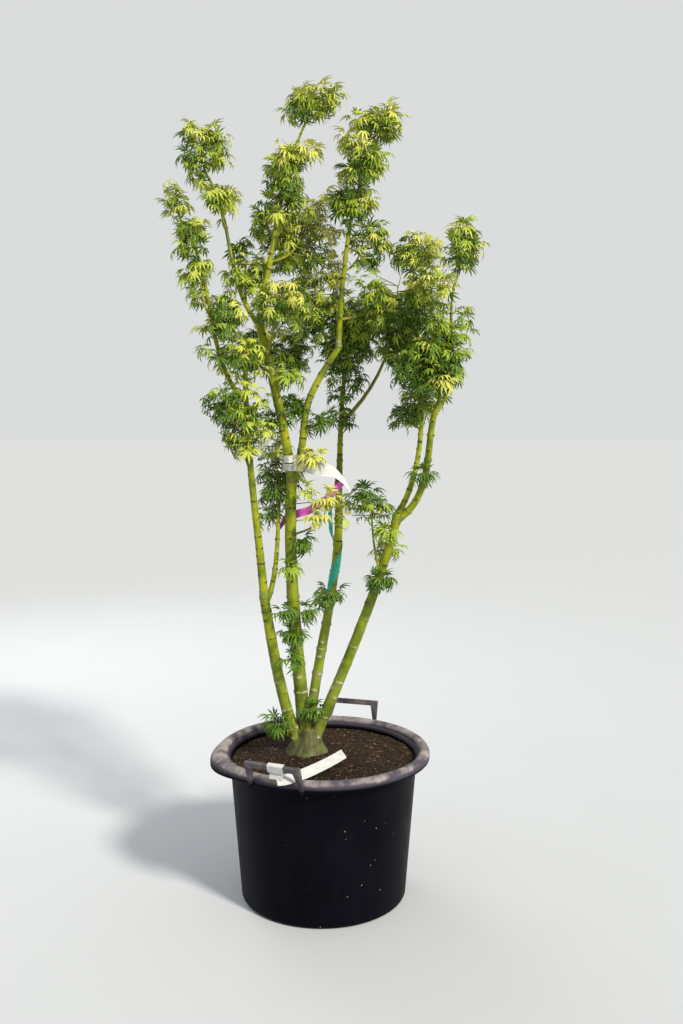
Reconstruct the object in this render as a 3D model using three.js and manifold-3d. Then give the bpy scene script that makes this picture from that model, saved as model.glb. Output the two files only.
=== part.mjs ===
// A young japanese maple of four stems from one root, in its round nursery pot, with the tags tied to it.
// Millimetres, +Z up. The origin is the middle of the pot's flat underside, and the front faces -Y.
import * as THREE from "three";
import { mergeVertices } from "three/addons/utils/BufferGeometryUtils.js";
import Module from "manifold-3d";

const wasm = await Module();
wasm.setup();

// The gap between neighbouring pieces, and the clearance that leaves and twigs keep from other limbs.
const GAP = 0.3;
const LEAF_CLEARANCE = 2;

// The pot: a thin moulded wall that widens to the top, and a rolled rim with a hanging skirt.
const POT_HEIGHT = 395;
const POT_ROUND = 30;
const WALL = 4;
const BASE_THICKNESS = 6;
const BASE_RADIUS = 217;
const BASE_CORNER = 12;
const TOP_RADIUS = 245;
const SKIRT_RADIUS = 278;
const SKIRT_BOTTOM = 371;
const SKIRT_THICKNESS = 3.5;
const WALL_TOP = 372;

// The rim is bent out and down over one stretch, on the left.
const BEND_BEARING = 197;
const BEND_HALF = 38;
const BEND_OUT = 20;
const BEND_DOWN = 6;

// The soil, level in the middle, where the plant stands, and a little lower at the wall.
const SOIL_TOP = 378;
const SOIL_EDGE = 368;
const SOIL_LEVEL_RADIUS = 125;

// The two handles: moulded brackets that lean outwards, on legs that narrow downwards to a point.
const FRONT_HANDLE_BEARING = -24;
const BACK_HANDLE_BEARING = 163;
const HANDLE_WIDTH = 146;
const HANDLE_LEG = 20;
const HANDLE_LEG_FOOT = 6;
const HANDLE_HEIGHT = 78;
const HANDLE_BAR = 15;
const HANDLE_THICKNESS = 10;
const HANDLE_LEAN = 20;
const HANDLE_FOOT = 366;
const HANDLE_FOOT_OUT = 269;

// The root crown, where the four stems leave the ground together.
const CROWN_PLACE = [-46, 22];
const CROWN_FOOT_RADIUS = 60;
const CROWN_TOP_RADIUS = 34;
const CROWN_HEIGHT = 66;

// Stems and boughs. A limb runs from a place on its parent, or from the root crown, to its tip. The two handles
// bend it on the way, as on a drawn curve, and the diameters are those at its foot and at its tip.
const LIMBS = [
  { name: "stem_main", from: [-48, 22, 392], bend: [[-65, 25, 625], [-95, -5, 860]],
    tip: [-80, -10, 1090], foot: 38, end: 27 },
  { name: "stem_left", from: [-66, 12, 396], bend: [[-115, 0, 530], [-130, -35, 665]],
    tip: [-150, -50, 795], foot: 31, end: 25 },
  { name: "stem_right", from: [-28, 18, 396], bend: [[55, 5, 600], [145, -25, 815]],
    tip: [190, -40, 1010], foot: 30, end: 23 },
  { name: "stem_middle", from: [-42, 40, 396], bend: [[-15, 60, 640], [45, 90, 820]],
    tip: [42, 112, 1010], foot: 28, end: 21 },
  { name: "bough_left_outer", parent: "stem_left", share: 1, bend: [[-165, -70, 1010], [-200, -95, 1225]],
    tip: [-185, -115, 1435], foot: 22, end: 10 },
  { name: "bough_left_inner", parent: "stem_left", share: 0.96, bend: [[-112, -25, 840], [-118, 5, 980]],
    tip: [-112, 42, 1110], foot: 15, end: 7 },
  { name: "bough_left_tower", parent: "bough_left_outer", share: 0.77, bend: [[-285, -120, 1380], [-255, -130, 1570]],
    tip: [-318, -130, 1685], foot: 12, end: 6 },
  { name: "bough_main_left", parent: "stem_main", share: 1, bend: [[-95, -15, 1225], [-130, -25, 1360]],
    tip: [-160, -30, 1490], foot: 25, end: 20 },
  { name: "leader", parent: "bough_main_left", share: 1, bend: [[-125, -25, 1655], [-110, 0, 1825]],
    tip: [-46, 0, 1975], foot: 16, end: 6 },
  { name: "bough_top_left", parent: "bough_main_left", share: 0.97, bend: [[-250, 10, 1590], [-225, 35, 1755]],
    tip: [-288, 40, 1855], foot: 13, end: 6 },
  { name: "bough_main_right", parent: "stem_main", share: 0.97, bend: [[-15, 15, 1275], [-95, 0, 1230]],
    tip: [40, 30, 1430], foot: 20, end: 16 },
  { name: "bough_right_tower", parent: "bough_main_right", share: 1, bend: [[48, 42, 1590], [60, 15, 1760]],
    tip: [110, 22, 1880], foot: 15, end: 6 },
  { name: "bough_middle_top", parent: "stem_middle", share: 1, bend: [[45, 130, 1140], [45, 155, 1330]],
    tip: [75, 178, 1475], foot: 19, end: 8 },
  { name: "bough_right_inner", parent: "stem_right", share: 1, bend: [[290, 15, 1160], [245, 45, 1400]],
    tip: [240, 62, 1580], foot: 16, end: 6 },
  { name: "bough_right_outer", parent: "stem_right", share: 0.97, bend: [[285, -60, 1055], [250, -80, 1195]],
    tip: [280, -90, 1275], foot: 19, end: 15 },
  { name: "bough_right_crown", parent: "bough_right_outer", share: 1, bend: [[308, -95, 1335], [262, -95, 1420]],
    tip: [270, -95, 1495], foot: 11, end: 7 },
  { name: "bough_right_side", parent: "bough_right_outer", share: 0.95, bend: [[345, -80, 1330], [300, -80, 1450]],
    tip: [322, -78, 1575], foot: 10, end: 6 },
];
const LIMB_SIDES = 8;
const LIMB_STEP = 95;
const COLLAR_LENGTH = 30;
const COLLAR_SWELL = 0.22;

// Masses of foliage. Each has a stem that leaves a limb at a share of its length, the middle and the half
// sizes of the space that it fills, and its number of twigs.
const MASSES = [
  ["left_tower_outer", "bough_left_tower", 1, [-348, -130, 1760], [44, 55, 55], 4],
  ["left_tower_inner", "bough_top_left", 0.62, [-248, -105, 1771], [43, 55, 51], 4],
  ["left_tower_middle", "bough_left_tower", 0.9, [-306, -125, 1685], [52, 58, 64], 4],
  ["left_tower_low", "bough_left_tower", 0.52, [-292, -152, 1575], [39, 55, 81], 4],
  ["left_shoulder", "bough_left_outer", 1, [-232, -130, 1487], [57, 65, 64], 5],
  ["top_left_crest", "bough_top_left", 1, [-307, 42, 1912], [57, 68, 84], 5],
  ["top_left_fan", "bough_top_left", 0.35, [-213, 70, 1685], [39, 55, 38], 4],
  ["top_left_base", "bough_top_left", 0.15, [-196, 15, 1604], [67, 59, 79], 5],
  ["leader_crest", "leader", 1, [-25, 0, 2031], [66, 78, 55], 5],
  ["leader_upper", "leader", 0.72, [-86, -24, 1852], [61, 81, 93], 5],
  ["leader_low", "leader", 0.42, [-145, 26, 1748], [37, 55, 61], 4],
  ["centre_upper", "leader", 0.3, [-52, 95, 1706], [100, 84, 122], 5],
  ["centre_middle", "bough_middle_top", 0.8, [-22, 130, 1566], [102, 93, 102], 5],
  ["centre_front", "bough_main_left", 0.8, [-111, -105, 1521], [78, 82, 70], 5],
  ["right_tower_crest", "bough_right_tower", 1, [134, 22, 1975], [65, 76, 54], 5],
  ["right_tower_upper", "bough_right_tower", 0.88, [97, 5, 1890], [66, 78, 87], 5],
  ["right_tower_neck", "bough_right_tower", 0.65, [71, 44, 1797], [75, 82, 55], 5],
  ["right_tower_side", "bough_right_tower", 0.4, [105, 55, 1681], [54, 55, 102], 5],
  ["right_tower_low", "bough_right_tower", 0.15, [153, 20, 1531], [67, 71, 85], 5],
  ["right_fan_upper", "bough_right_inner", 1, [231, 52, 1669], [76, 71, 67], 5],
  ["right_fan_outer", "bough_right_side", 1, [338, -75, 1653], [52, 58, 70], 5],
  ["right_fan_middle", "bough_right_crown", 1, [263, -100, 1564], [68, 72, 70], 5],
  ["right_fan_inner", "bough_right_inner", 0.68, [192, 72, 1440], [73, 82, 77], 4],
  ["right_dark_crown", "bough_right_crown", 0.35, [264, -75, 1370], [103, 95, 83], 5],
  ["right_low", "bough_right_inner", 0.4, [210, 0, 1251], [52, 55, 49], 4],
  ["middle_crown", "bough_middle_top", 1, [92, 178, 1485], [84, 95, 108], 5],
  ["middle_tuft", "bough_middle_top", 0.38, [47, 124, 1245], [50, 55, 44], 4],
  ["centre_low_spray", "stem_main", 0.8, [8, -45, 1004], [74, 60, 54], 4],
  ["left_mid_outer", "bough_left_outer", 0.66, [-240, -146, 1279], [58, 64, 64], 4],
  ["left_mid_inner", "bough_left_outer", 0.5, [-204, -66, 1222], [60, 64, 78], 5],
  ["left_shaded", "bough_left_inner", 0.85, [-122, 70, 1090], [53, 63, 147], 5],
  ["right_stem_tuft", "stem_right", 0.74, [122, -50, 1018], [64, 58, 52], 3],
  ["back_left", "bough_main_left", 0.45, [-150, 225, 1440], [110, 93, 102], 5],
  ["back_right", "bough_middle_top", 0.5, [205, 210, 1560], [101, 91, 102], 5],
].map(([name, limb, share, centre, half, twigs], index) => (
  { name, limb, share, centre: new THREE.Vector3(...centre), half, twigs, seed: 1000 + 37 * index }
));

// Leaves stand for sprays, so they are larger than life. Each takes the first of these lengths that fits.
const LEAF_LENGTHS = [88, 78, 68, 58, 48, 40];
const LEAF_SLIMNESS = 0.85;
const LEAF_FOLD = 5;
const LEAF_ROOT = 1.3;
const LEAF_WIDEST = 0.45;
const LEAF_DROOP = 1.1;
const LEAF_ROLL = 0.8;
// Where the leaves stand on a twig: the share of its length, and the turn from its line.
const LEAF_PLACES = [[0.97, 0], [0.75, 1.3], [0.5, -1.5]];
const TWIG_FOOT = 5;
const TWIG_TIP = 5;
const STEM_FOOT = 9;
const STEM_TIP = 7;
const TWIG_ROOT = 1.5;
const TWIG_REACH = 0.5;
const TWIG_LIFT = 0.25;
const LOWEST_RISE = -0.6;
const HIGHEST_RISE = 1.2;
const GOLDEN_ANGLE = 2.399963;

// The tags: strips of sheet, unprinted.
const STRIP_THICKNESS = 1.2;
const STRAP_HEIGHT = 38;
const RIBBON_HEIGHT = 20;
const TAPE_WIDTH = 27;
const TAPE_OFF = 2.6;
const SHRED_WIDTH = 15;
const TAG_WIDTH = 41;
const TAG_TAIL_WIDTH = 35;

const bark = (colour) => new THREE.MeshStandardMaterial({ color: colour, roughness: 0.6, metalness: 0 });
const MATERIALS = {
  pot: new THREE.MeshStandardMaterial({ color: 0x1c1a26, roughness: 0.5, metalness: 0 }),
  soil: new THREE.MeshStandardMaterial({ color: 0x35291d, roughness: 0.95, metalness: 0 }),
  wood: bark(0xa3a636),
  greyWood: bark(0x8d8560),
  foliage: new THREE.MeshStandardMaterial({ color: 0x5d7a22, roughness: 0.6, metalness: 0 }),
  white: new THREE.MeshStandardMaterial({ color: 0xf1f0ec, roughness: 0.5, metalness: 0 }),
  magenta: new THREE.MeshStandardMaterial({ color: 0xb13a9c, roughness: 0.5, metalness: 0 }),
  green: new THREE.MeshStandardMaterial({ color: 0x1c9a77, roughness: 0.5, metalness: 0 }),
};

const part = new THREE.Group();

// A closed geometry as a solid, placed by a matrix if one is given.
function toSolid(geometry, matrix) {
  const plain = geometry.clone();
  plain.deleteAttribute("normal");
  plain.deleteAttribute("uv");
  if (matrix) plain.applyMatrix4(matrix);
  const merged = mergeVertices(plain, 1e-4);
  return new wasm.Manifold(new wasm.Mesh({
    numProp: 3,
    vertProperties: merged.attributes.position.array,
    triVerts: new Uint32Array(merged.index.array),
  }));
}

function toGeometry(solid) {
  const mesh = solid.getMesh();
  const positions = new Float32Array(mesh.numVert * 3);
  for (let i = 0; i < mesh.numVert; i++)
    positions.set(mesh.vertProperties.subarray(i * mesh.numProp, i * mesh.numProp + 3), i * 3);
  const geometry = new THREE.BufferGeometry();
  geometry.setAttribute("position", new THREE.BufferAttribute(positions, 3));
  geometry.setIndex(new THREE.BufferAttribute(mesh.triVerts, 1));
  geometry.computeVertexNormals();
  return geometry;
}

// A cut can leave loose scraps: the body itself is the largest piece.
function largestBody(solid) {
  return solid.decompose().reduce((a, b) => (b.volume() > a.volume() ? b : a));
}

function addMesh(name, geometry, material, parent = part) {
  const mesh = new THREE.Mesh(geometry, material);
  mesh.name = name;
  parent.add(mesh);
  return mesh;
}

// The same run of numbers from 0 to 1 for the same seed.
function seededRandom(seed) {
  let state = seed >>> 0;
  return () => {
    state = (Math.imul(state, 1664525) + 1013904223) >>> 0;
    return state / 4294967296;
  };
}

// Every vertex of a geometry goes where a rule sends it.
function reshape(geometry, rule) {
  const position = geometry.attributes.position;
  const point = new THREE.Vector3();
  for (let i = 0; i < position.count; i++) {
    rule(point.fromBufferAttribute(position, i));
    position.setXYZ(i, point.x, point.y, point.z);
  }
  return geometry;
}

// A lathe profile is given as [radius, height] and turned upright.
function lathe(profile, round) {
  const points = profile.map(([radius, height]) => new THREE.Vector2(radius, height));
  return new THREE.LatheGeometry(points, round).rotateX(Math.PI / 2);
}

// The inner face of the pot's wall at a height.
function innerRadius(height) {
  const share = (height - BASE_CORNER) / (WALL_TOP - BASE_CORNER);
  return THREE.MathUtils.lerp(BASE_RADIUS, TOP_RADIUS, share) - WALL;
}

function addPot() {
  const skirtInside = SKIRT_RADIUS - SKIRT_THICKNESS;
  const profile = [
    [0, 0], [BASE_RADIUS - 10, 0], [BASE_RADIUS - 3, 4], [BASE_RADIUS, BASE_CORNER], [TOP_RADIUS, WALL_TOP],
    [252, 383], [skirtInside, 383], [skirtInside, SKIRT_BOTTOM], [SKIRT_RADIUS, SKIRT_BOTTOM],
    [SKIRT_RADIUS, 384], [274, 391], [264, POT_HEIGHT], [256, 394], [249, 386],
    [innerRadius(WALL_TOP), WALL_TOP], [innerRadius(BASE_CORNER), BASE_CORNER],
    [innerRadius(BASE_CORNER) - 5, BASE_THICKNESS], [0, BASE_THICKNESS],
  ];
  const rimRoot = 250;
  const geometry = reshape(lathe(profile, POT_ROUND), (p) => {
    const radius = Math.hypot(p.x, p.y);
    if (radius < rimRoot || p.z < SKIRT_BOTTOM - 1) return;
    const bearing = THREE.MathUtils.radToDeg(Math.atan2(p.y, p.x));
    const off = Math.abs(((bearing - BEND_BEARING + 540) % 360) - 180) / BEND_HALF;
    if (off >= 1) return;
    const share = Math.cos((off * Math.PI) / 2) ** 2 * (radius - rimRoot) / (SKIRT_RADIUS - rimRoot);
    p.x *= 1 + (share * BEND_OUT) / radius;
    p.y *= 1 + (share * BEND_OUT) / radius;
    p.z -= share * BEND_DOWN;
  });
  addMesh("pot", toGeometry(toSolid(geometry)), MATERIALS.pot);
}

function addSoil() {
  const profile = [
    [0, BASE_THICKNESS + GAP], [innerRadius(BASE_CORNER) - 6, BASE_THICKNESS + GAP],
    [innerRadius(BASE_CORNER) - 2 * GAP, BASE_CORNER + 1], [innerRadius(SOIL_EDGE) - 2 * GAP, SOIL_EDGE],
    [SOIL_LEVEL_RADIUS + 50, SOIL_TOP - 4], [SOIL_LEVEL_RADIUS, SOIL_TOP], [0, SOIL_TOP],
  ];
  addMesh("soil", toGeometry(toSolid(lathe(profile, POT_ROUND))), MATERIALS.soil);
}

// Each handle stands in a frame whose -Y points away from the pot's middle.
function handleFrame(bearing) {
  const frame = new THREE.Group();
  frame.rotation.z = THREE.MathUtils.degToRad(bearing);
  part.add(frame);
  return frame;
}

function addHandle(name, frame) {
  const half = HANDLE_WIDTH / 2;
  const corner = 8;
  const outline = new THREE.Shape();
  outline.moveTo(-half, 0);
  outline.lineTo(-half, HANDLE_HEIGHT - corner);
  outline.quadraticCurveTo(-half, HANDLE_HEIGHT, -half + corner, HANDLE_HEIGHT);
  outline.lineTo(half - corner, HANDLE_HEIGHT);
  outline.quadraticCurveTo(half, HANDLE_HEIGHT, half, HANDLE_HEIGHT - corner);
  outline.lineTo(half, 0);
  outline.lineTo(half - HANDLE_LEG_FOOT, 0);
  outline.lineTo(half - HANDLE_LEG, HANDLE_HEIGHT - HANDLE_BAR);
  outline.lineTo(-half + HANDLE_LEG, HANDLE_HEIGHT - HANDLE_BAR);
  outline.lineTo(-half + HANDLE_LEG_FOOT, 0);
  const geometry = new THREE.ExtrudeGeometry(outline, {
    depth: HANDLE_THICKNESS, bevelEnabled: false, curveSegments: 3,
  });
  const mesh = addMesh(name, toGeometry(toSolid(geometry)), MATERIALS.pot, frame);
  mesh.rotation.x = THREE.MathUtils.degToRad(90 + HANDLE_LEAN);
  mesh.position.set(0, -HANDLE_FOOT_OUT, HANDLE_FOOT);
  return mesh;
}

// A strip of sheet along a curve through a few points. Its width stands along `across`, and narrows to
// `endWidth` past `narrowsFrom`.
function strip(points, width, across, endWidth = width, narrowsFrom = 0.6, steps = 22) {
  const curve = new THREE.CatmullRomCurve3(points.map((p) => new THREE.Vector3(...p)));
  const side = new THREE.Vector3();
  const normal = new THREE.Vector3();
  return reshape(new THREE.BoxGeometry(1, 1, 1, steps, 1, 1), (p) => {
    const share = p.x + 0.5;
    const tangent = curve.getTangent(share);
    normal.crossVectors(across, tangent).normalize();
    side.crossVectors(tangent, normal);
    const narrowing = THREE.MathUtils.smoothstep(share, narrowsFrom, 1);
    const high = THREE.MathUtils.lerp(width, endWidth, narrowing);
    const middle = curve.getPoint(share);
    const along = p.z * high;
    const through = p.y * STRIP_THICKNESS;
    p.copy(middle).addScaledVector(side, along).addScaledVector(normal, through);
  });
}

function addRootCrown() {
  const [x, y] = CROWN_PLACE;
  const foot = SOIL_TOP + GAP;
  const profile = [
    [0, 0], [CROWN_FOOT_RADIUS, 0], [CROWN_FOOT_RADIUS * 0.86, 0.12], [CROWN_FOOT_RADIUS * 0.72, 0.4],
    [CROWN_TOP_RADIUS * 1.12, 0.75], [CROWN_TOP_RADIUS, 1], [0, 1],
  ].map(([radius, share]) => [radius, foot + share * CROWN_HEIGHT]);
  const geometry = reshape(lathe(profile, 20), (p) => {
    const bearing = Math.atan2(p.y, p.x);
    const buttress = 1 + 0.12 * Math.cos(4 * bearing + 0.6) + 0.05 * Math.cos(7 * bearing);
    p.x = x + p.x * buttress;
    p.y = y + p.y * buttress;
  });
  const solid = toSolid(geometry);
  addMesh("root_crown", toGeometry(solid), MATERIALS.greyWood);
  const scale = (CROWN_TOP_RADIUS + GAP) / CROWN_TOP_RADIUS;
  const wide = reshape(geometry.clone(), (p) => {
    p.x = x + (p.x - x) * scale;
    p.y = y + (p.y - y) * scale;
    if (p.z > foot + 1) p.z += GAP;
  });
  return toSolid(wide);
}

const limbs = new Map();

// A limb's radius at a share of its length: an even taper, with a collar where it leaves its parent.
function limbRadius(limb, share) {
  const collar = Math.max(0, 1 - (share * limb.length) / COLLAR_LENGTH);
  return (THREE.MathUtils.lerp(limb.foot, limb.end, share) / 2) * (1 + COLLAR_SWELL * collar * collar);
}

// A tapering round solid along a limb's curve. `grow` widens it and lengthens both its ends.
function limbSolid(limb, grow = 0) {
  const steps = Math.max(3, Math.ceil(limb.length / LIMB_STEP));
  const forward = new THREE.Vector3(0, 1, 0);
  const side = new THREE.Vector3();
  const other = new THREE.Vector3();
  const unit = new THREE.CylinderGeometry(1, 1, 1, LIMB_SIDES, steps);
  return toSolid(reshape(unit, (p) => {
    const share = p.y + 0.5;
    const tangent = limb.curve.getTangent(share);
    side.crossVectors(forward, tangent).normalize();
    other.crossVectors(tangent, side);
    const radius = limbRadius(limb, share) + grow;
    const middle = limb.curve.getPoint(share);
    if (share === 0 || share === 1) middle.addScaledVector(tangent, share === 1 ? grow : -grow);
    const across = p.x * radius;
    const over = -p.z * radius;
    p.copy(middle).addScaledVector(side, across).addScaledVector(other, over);
  }));
}

function addLimb(plan, crownWide) {
  const parent = limbs.get(plan.parent);
  const from = parent ? parent.curve.getPoint(plan.share) : new THREE.Vector3(...plan.from);
  const bends = plan.bend.map((p) => new THREE.Vector3(...p));
  const curve = new THREE.CubicBezierCurve3(from, ...bends, new THREE.Vector3(...plan.tip));
  const limb = { ...plan, curve, length: curve.getLength() };
  let solid = limbSolid(limb);
  if (!parent) solid = solid.subtract(crownWide);
  for (const other of limbs.values()) solid = solid.subtract(other.wide);
  solid = largestBody(solid);
  limb.wide = limbSolid(limb, GAP);
  limb.samples = Array.from({ length: 33 }, (_, i) => ({
    point: curve.getPoint(i / 32), radius: limbRadius(limb, i / 32),
  }));
  limbs.set(plan.name, limb);
  addMesh(plan.name, toGeometry(solid), MATERIALS.wood);
}

// How far out a point lies in a mass's space: 0 in the middle, 1 on its border.
function depthIn(mass, p) {
  const [a, b, c] = mass.half;
  return Math.hypot((p.x - mass.centre.x) / a, (p.y - mass.centre.y) / b, (p.z - mass.centre.z) / c);
}

// A point is a mass's own if it is in its space and no other mass's middle claims it more.
function isOwn(mass, p) {
  const depth = depthIn(mass, p);
  return depth <= 1 && MASSES.every((other) => other === mass || depthIn(other, p) > depth + 0.03);
}

function isClearOfLimbs(p) {
  const nearest = new THREE.Vector3();
  for (const { samples } of limbs.values())
    for (let i = 1; i < samples.length; i++) {
      new THREE.Line3(samples[i - 1].point, samples[i].point).closestPointToPoint(p, true, nearest);
      if (p.distanceTo(nearest) < samples[i].radius + LEAF_CLEARANCE) return false;
    }
  return true;
}

// A three-sided twig along a bent line, from foot to tip.
function twigSolid(curve, foot, tip, steps) {
  const forward = new THREE.Vector3(0.31, 0.95, 0.05).normalize();
  const side = new THREE.Vector3();
  const other = new THREE.Vector3();
  return toSolid(reshape(new THREE.CylinderGeometry(1, 1, 1, 3, steps), (p) => {
    const share = p.y + 0.5;
    const tangent = curve.getTangent(share);
    side.crossVectors(forward, tangent).normalize();
    other.crossVectors(tangent, side);
    const radius = THREE.MathUtils.lerp(foot, tip, share) / 2;
    const middle = curve.getPoint(share);
    const across = p.x * radius;
    const over = -p.z * radius;
    p.copy(middle).addScaledVector(side, across).addScaledVector(other, over);
  }));
}

function areNear(a, b) {
  const boxA = a.boundingBox();
  const boxB = b.boundingBox();
  return [0, 1, 2].every((i) => boxA.min[i] < boxB.max[i] + 1 && boxB.min[i] < boxA.max[i] + 1);
}

function crosses(a, b) {
  return areNear(a, b) && !a.intersect(b).isEmpty();
}

function touches(a, b) {
  return areNear(a, b) && a.minGap(b, 1) < GAP;
}

// A leaf is a folded lozenge: its keel runs from root to tip, under the line across its widest place.
function leafSolid(root, aim, length, roll) {
  const up = new THREE.Vector3(0, 0, 1).addScaledVector(aim, -aim.z).normalize().applyAxisAngle(aim, roll);
  const side = new THREE.Vector3().crossVectors(up, aim);
  return toSolid(reshape(new THREE.TetrahedronGeometry(1), (p) => {
    const isKeel = p.x * p.y > 0;
    const end = Math.sign(p.x);
    const forward = isKeel ? (end > 0 ? length : 0) : length * LEAF_WIDEST;
    const across = isKeel ? 0 : (end * length * LEAF_SLIMNESS) / 2;
    const over = isKeel ? 0 : LEAF_FOLD;
    p.copy(root).addScaledVector(aim, forward).addScaledVector(side, across).addScaledVector(up, over);
  }));
}

// The rule of growth: a stem from the limb through the mass, twigs that leave it all round and rise more the
// higher they stand, and leaves by turns on both sides of each twig, drooping, with one at its tip.
function massStem(mass) {
  const foot = limbs.get(mass.limb).curve.getPoint(mass.share);
  const top = mass.centre.clone().add(new THREE.Vector3(0, 0, 0.5 * mass.half[2]));
  const bend = new THREE.Vector3(mass.centre.x, mass.centre.y, THREE.MathUtils.lerp(foot.z, mass.centre.z, 0.45));
  return new THREE.QuadraticBezierCurve3(foot, bend, top);
}

function growMass(mass, stem) {
  const random = seededRandom(mass.seed);
  const [a, b, c] = mass.half;
  const isFree = (p) => isOwn(mass, p) && isClearOfLimbs(p);
  const twigs = [];
  const leaves = [];
  const turn = random() * 2 * Math.PI;
  for (let k = 0; k < mass.twigs; k++) {
    const order = (k + 0.5) / mass.twigs;
    const axis = stem.getPoint(0.3 + 0.7 * order);
    const bearing = turn + k * GOLDEN_ANGLE + 0.5 * (random() - 0.5);
    const rise = THREE.MathUtils.lerp(LOWEST_RISE, HIGHEST_RISE, order) + 0.3 * (random() - 0.5);
    const reach = TWIG_REACH * (0.85 + 0.3 * random());
    const to = mass.centre.clone().add(new THREE.Vector3(
      a * Math.cos(rise) * Math.cos(bearing), b * Math.cos(rise) * Math.sin(bearing), c * Math.sin(rise),
    ).multiplyScalar(reach));
    to.z += TWIG_LIFT * c;
    const from = axis.clone().addScaledVector(to.clone().sub(axis).normalize(), TWIG_ROOT);
    const twig = new THREE.LineCurve3(from, to);
    if (!isFree(to)) continue;
    twigs.push(twigSolid(twig, TWIG_FOOT, TWIG_TIP, 1));
    for (const [share, angle] of LEAF_PLACES) {
      const aim = to.clone().sub(from).normalize().applyAxisAngle(new THREE.Vector3(0, 0, 1), angle);
      aim.z -= LEAF_DROOP * (0.5 + random());
      aim.normalize();
      const roll = LEAF_ROLL * (2 * random() - 1);
      const root = twig.getPoint(share).addScaledVector(aim, -LEAF_ROOT);
      for (const length of LEAF_LENGTHS) {
        if (![0.45, 0.75, 1].every((t) => isFree(root.clone().addScaledVector(aim, length * t)))) continue;
        const leaf = leafSolid(root, aim, length, roll);
        if (leaves.some((other) => crosses(leaf, other))) continue;
        leaves.push(leaf);
        break;
      }
    }
  }
  return [...twigs, ...leaves];
}

// The stems of all masses come first, so that no twig or leaf of another mass touches them, or a tie.
function addMasses(ties) {
  const stems = MASSES.map((mass) => {
    const curve = massStem(mass);
    const solid = largestBody(twigSolid(curve, STEM_FOOT, STEM_TIP, 3).subtract(limbs.get(mass.limb).wide));
    return { curve, solid };
  });
  const placed = [...ties, ...Array.from(limbs.values(), (limb) => limb.wide)];
  MASSES.forEach((mass, i) => {
    const own = stems[i];
    const neighbours = placed.concat(stems.filter((stem) => stem !== own).map((stem) => stem.solid));
    const free = growMass(mass, own.curve).filter((piece) => !neighbours.some((n) => touches(piece, n)));
    const solid = largestBody(wasm.Manifold.union([own.solid, ...free]));
    placed.push(solid);
    addMesh(mass.name, toGeometry(solid), MATERIALS.foliage);
  });
}

// A strap round the fork of the main stem: once round both boughs, then out to the right and drooping.
function addLabelStrap() {
  const route = [
    [-48, -9, 1137], [-46.6, 1, 1137], [-51.5, 10, 1137], [-63, 12.8, 1137], [-86, 5.4, 1137], [-97.5, -1, 1137],
    [-103.3, -12, 1137], [-99, -23, 1137], [-86, -27.6, 1137], [-66, -25, 1137], [-42, -28, 1134],
    [-25, -33, 1128], [11, -38, 1120], [33, -39, 1110], [55, -37, 1088], [70, -34, 1066],
  ];
  const geometry = strip(route, STRAP_HEIGHT, new THREE.Vector3(0, 0, 1), 3, 0.72, 28);
  const solid = toSolid(geometry);
  addMesh("label_strap", toGeometry(solid), MATERIALS.white);
  return solid;
}

// A ribbon tied round the middle stem, with a free end that passes behind the main stem.
function addRibbon() {
  const [x, y, z] = limbs.get("bough_middle_top").curve.getPoint(0.17).toArray();
  const round = 12;
  const loop = [235, 190, 145, 100, 55, 10, -35].map((degrees) => {
    const angle = THREE.MathUtils.degToRad(degrees);
    return [x + round * Math.cos(angle), y + round * Math.sin(angle), z];
  });
  const route = [
    ...loop, [38, 93, 1068], [18, 78, 1046], [-7, 58, 1028], [-37, 38, 1012], [-67, 24, 1004], [-93, 28, 992],
    [-118, 32, 962],
  ];
  const geometry = strip(route, RIBBON_HEIGHT, new THREE.Vector3(0, 0, 1), 9, 0.85, 26);
  const solid = toSolid(geometry);
  addMesh("ribbon", toGeometry(solid), MATERIALS.magenta);
  return solid;
}

// A tape that hangs from the ribbon's knot, and is wound once round the middle stem: first level behind it,
// then steeply down across its front. Its width lies round the stem too.
function addTape() {
  const limb = limbs.get("stem_middle");
  const [high, low] = [0.85, 0.605];
  const [first, last] = [2.9, -3.2];
  const steepening = 1.8;
  const wound = reshape(new THREE.BoxGeometry(1, 1, 1, 22, 1, 4), (p) => {
    const along = p.x + 0.5;
    const share = THREE.MathUtils.lerp(high, low, along ** steepening);
    const round = limbRadius(limb, share) + TAPE_OFF + p.y * STRIP_THICKNESS;
    const fall = (high - low) * steepening * along ** (steepening - 1) * limb.length;
    const travel = (first - last) * round;
    const length = Math.hypot(fall, travel);
    const turn = THREE.MathUtils.lerp(first, last, along) - (p.z * TAPE_WIDTH * fall) / length / round;
    const lift = (p.z * TAPE_WIDTH * travel) / length;
    p.set(round * Math.cos(turn), round * Math.sin(turn), 0);
    p.add(limb.curve.getPoint(share)).addScaledVector(limb.curve.getTangent(share), lift);
  });
  const shred = strip(
    [[22, 101, 1064], [17, 97, 1045], [18, 97, 1010], [20, 98, 965], [22.5, 103, 942], [26.5, 105.5, 926]],
    SHRED_WIDTH, new THREE.Vector3(0.7, -0.7, 0), 3, 0.62, 10,
  );
  const solid = largestBody(toSolid(wound).add(toSolid(shred)));
  addMesh("green_tape", toGeometry(solid), MATERIALS.green);
  return solid;
}

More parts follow.
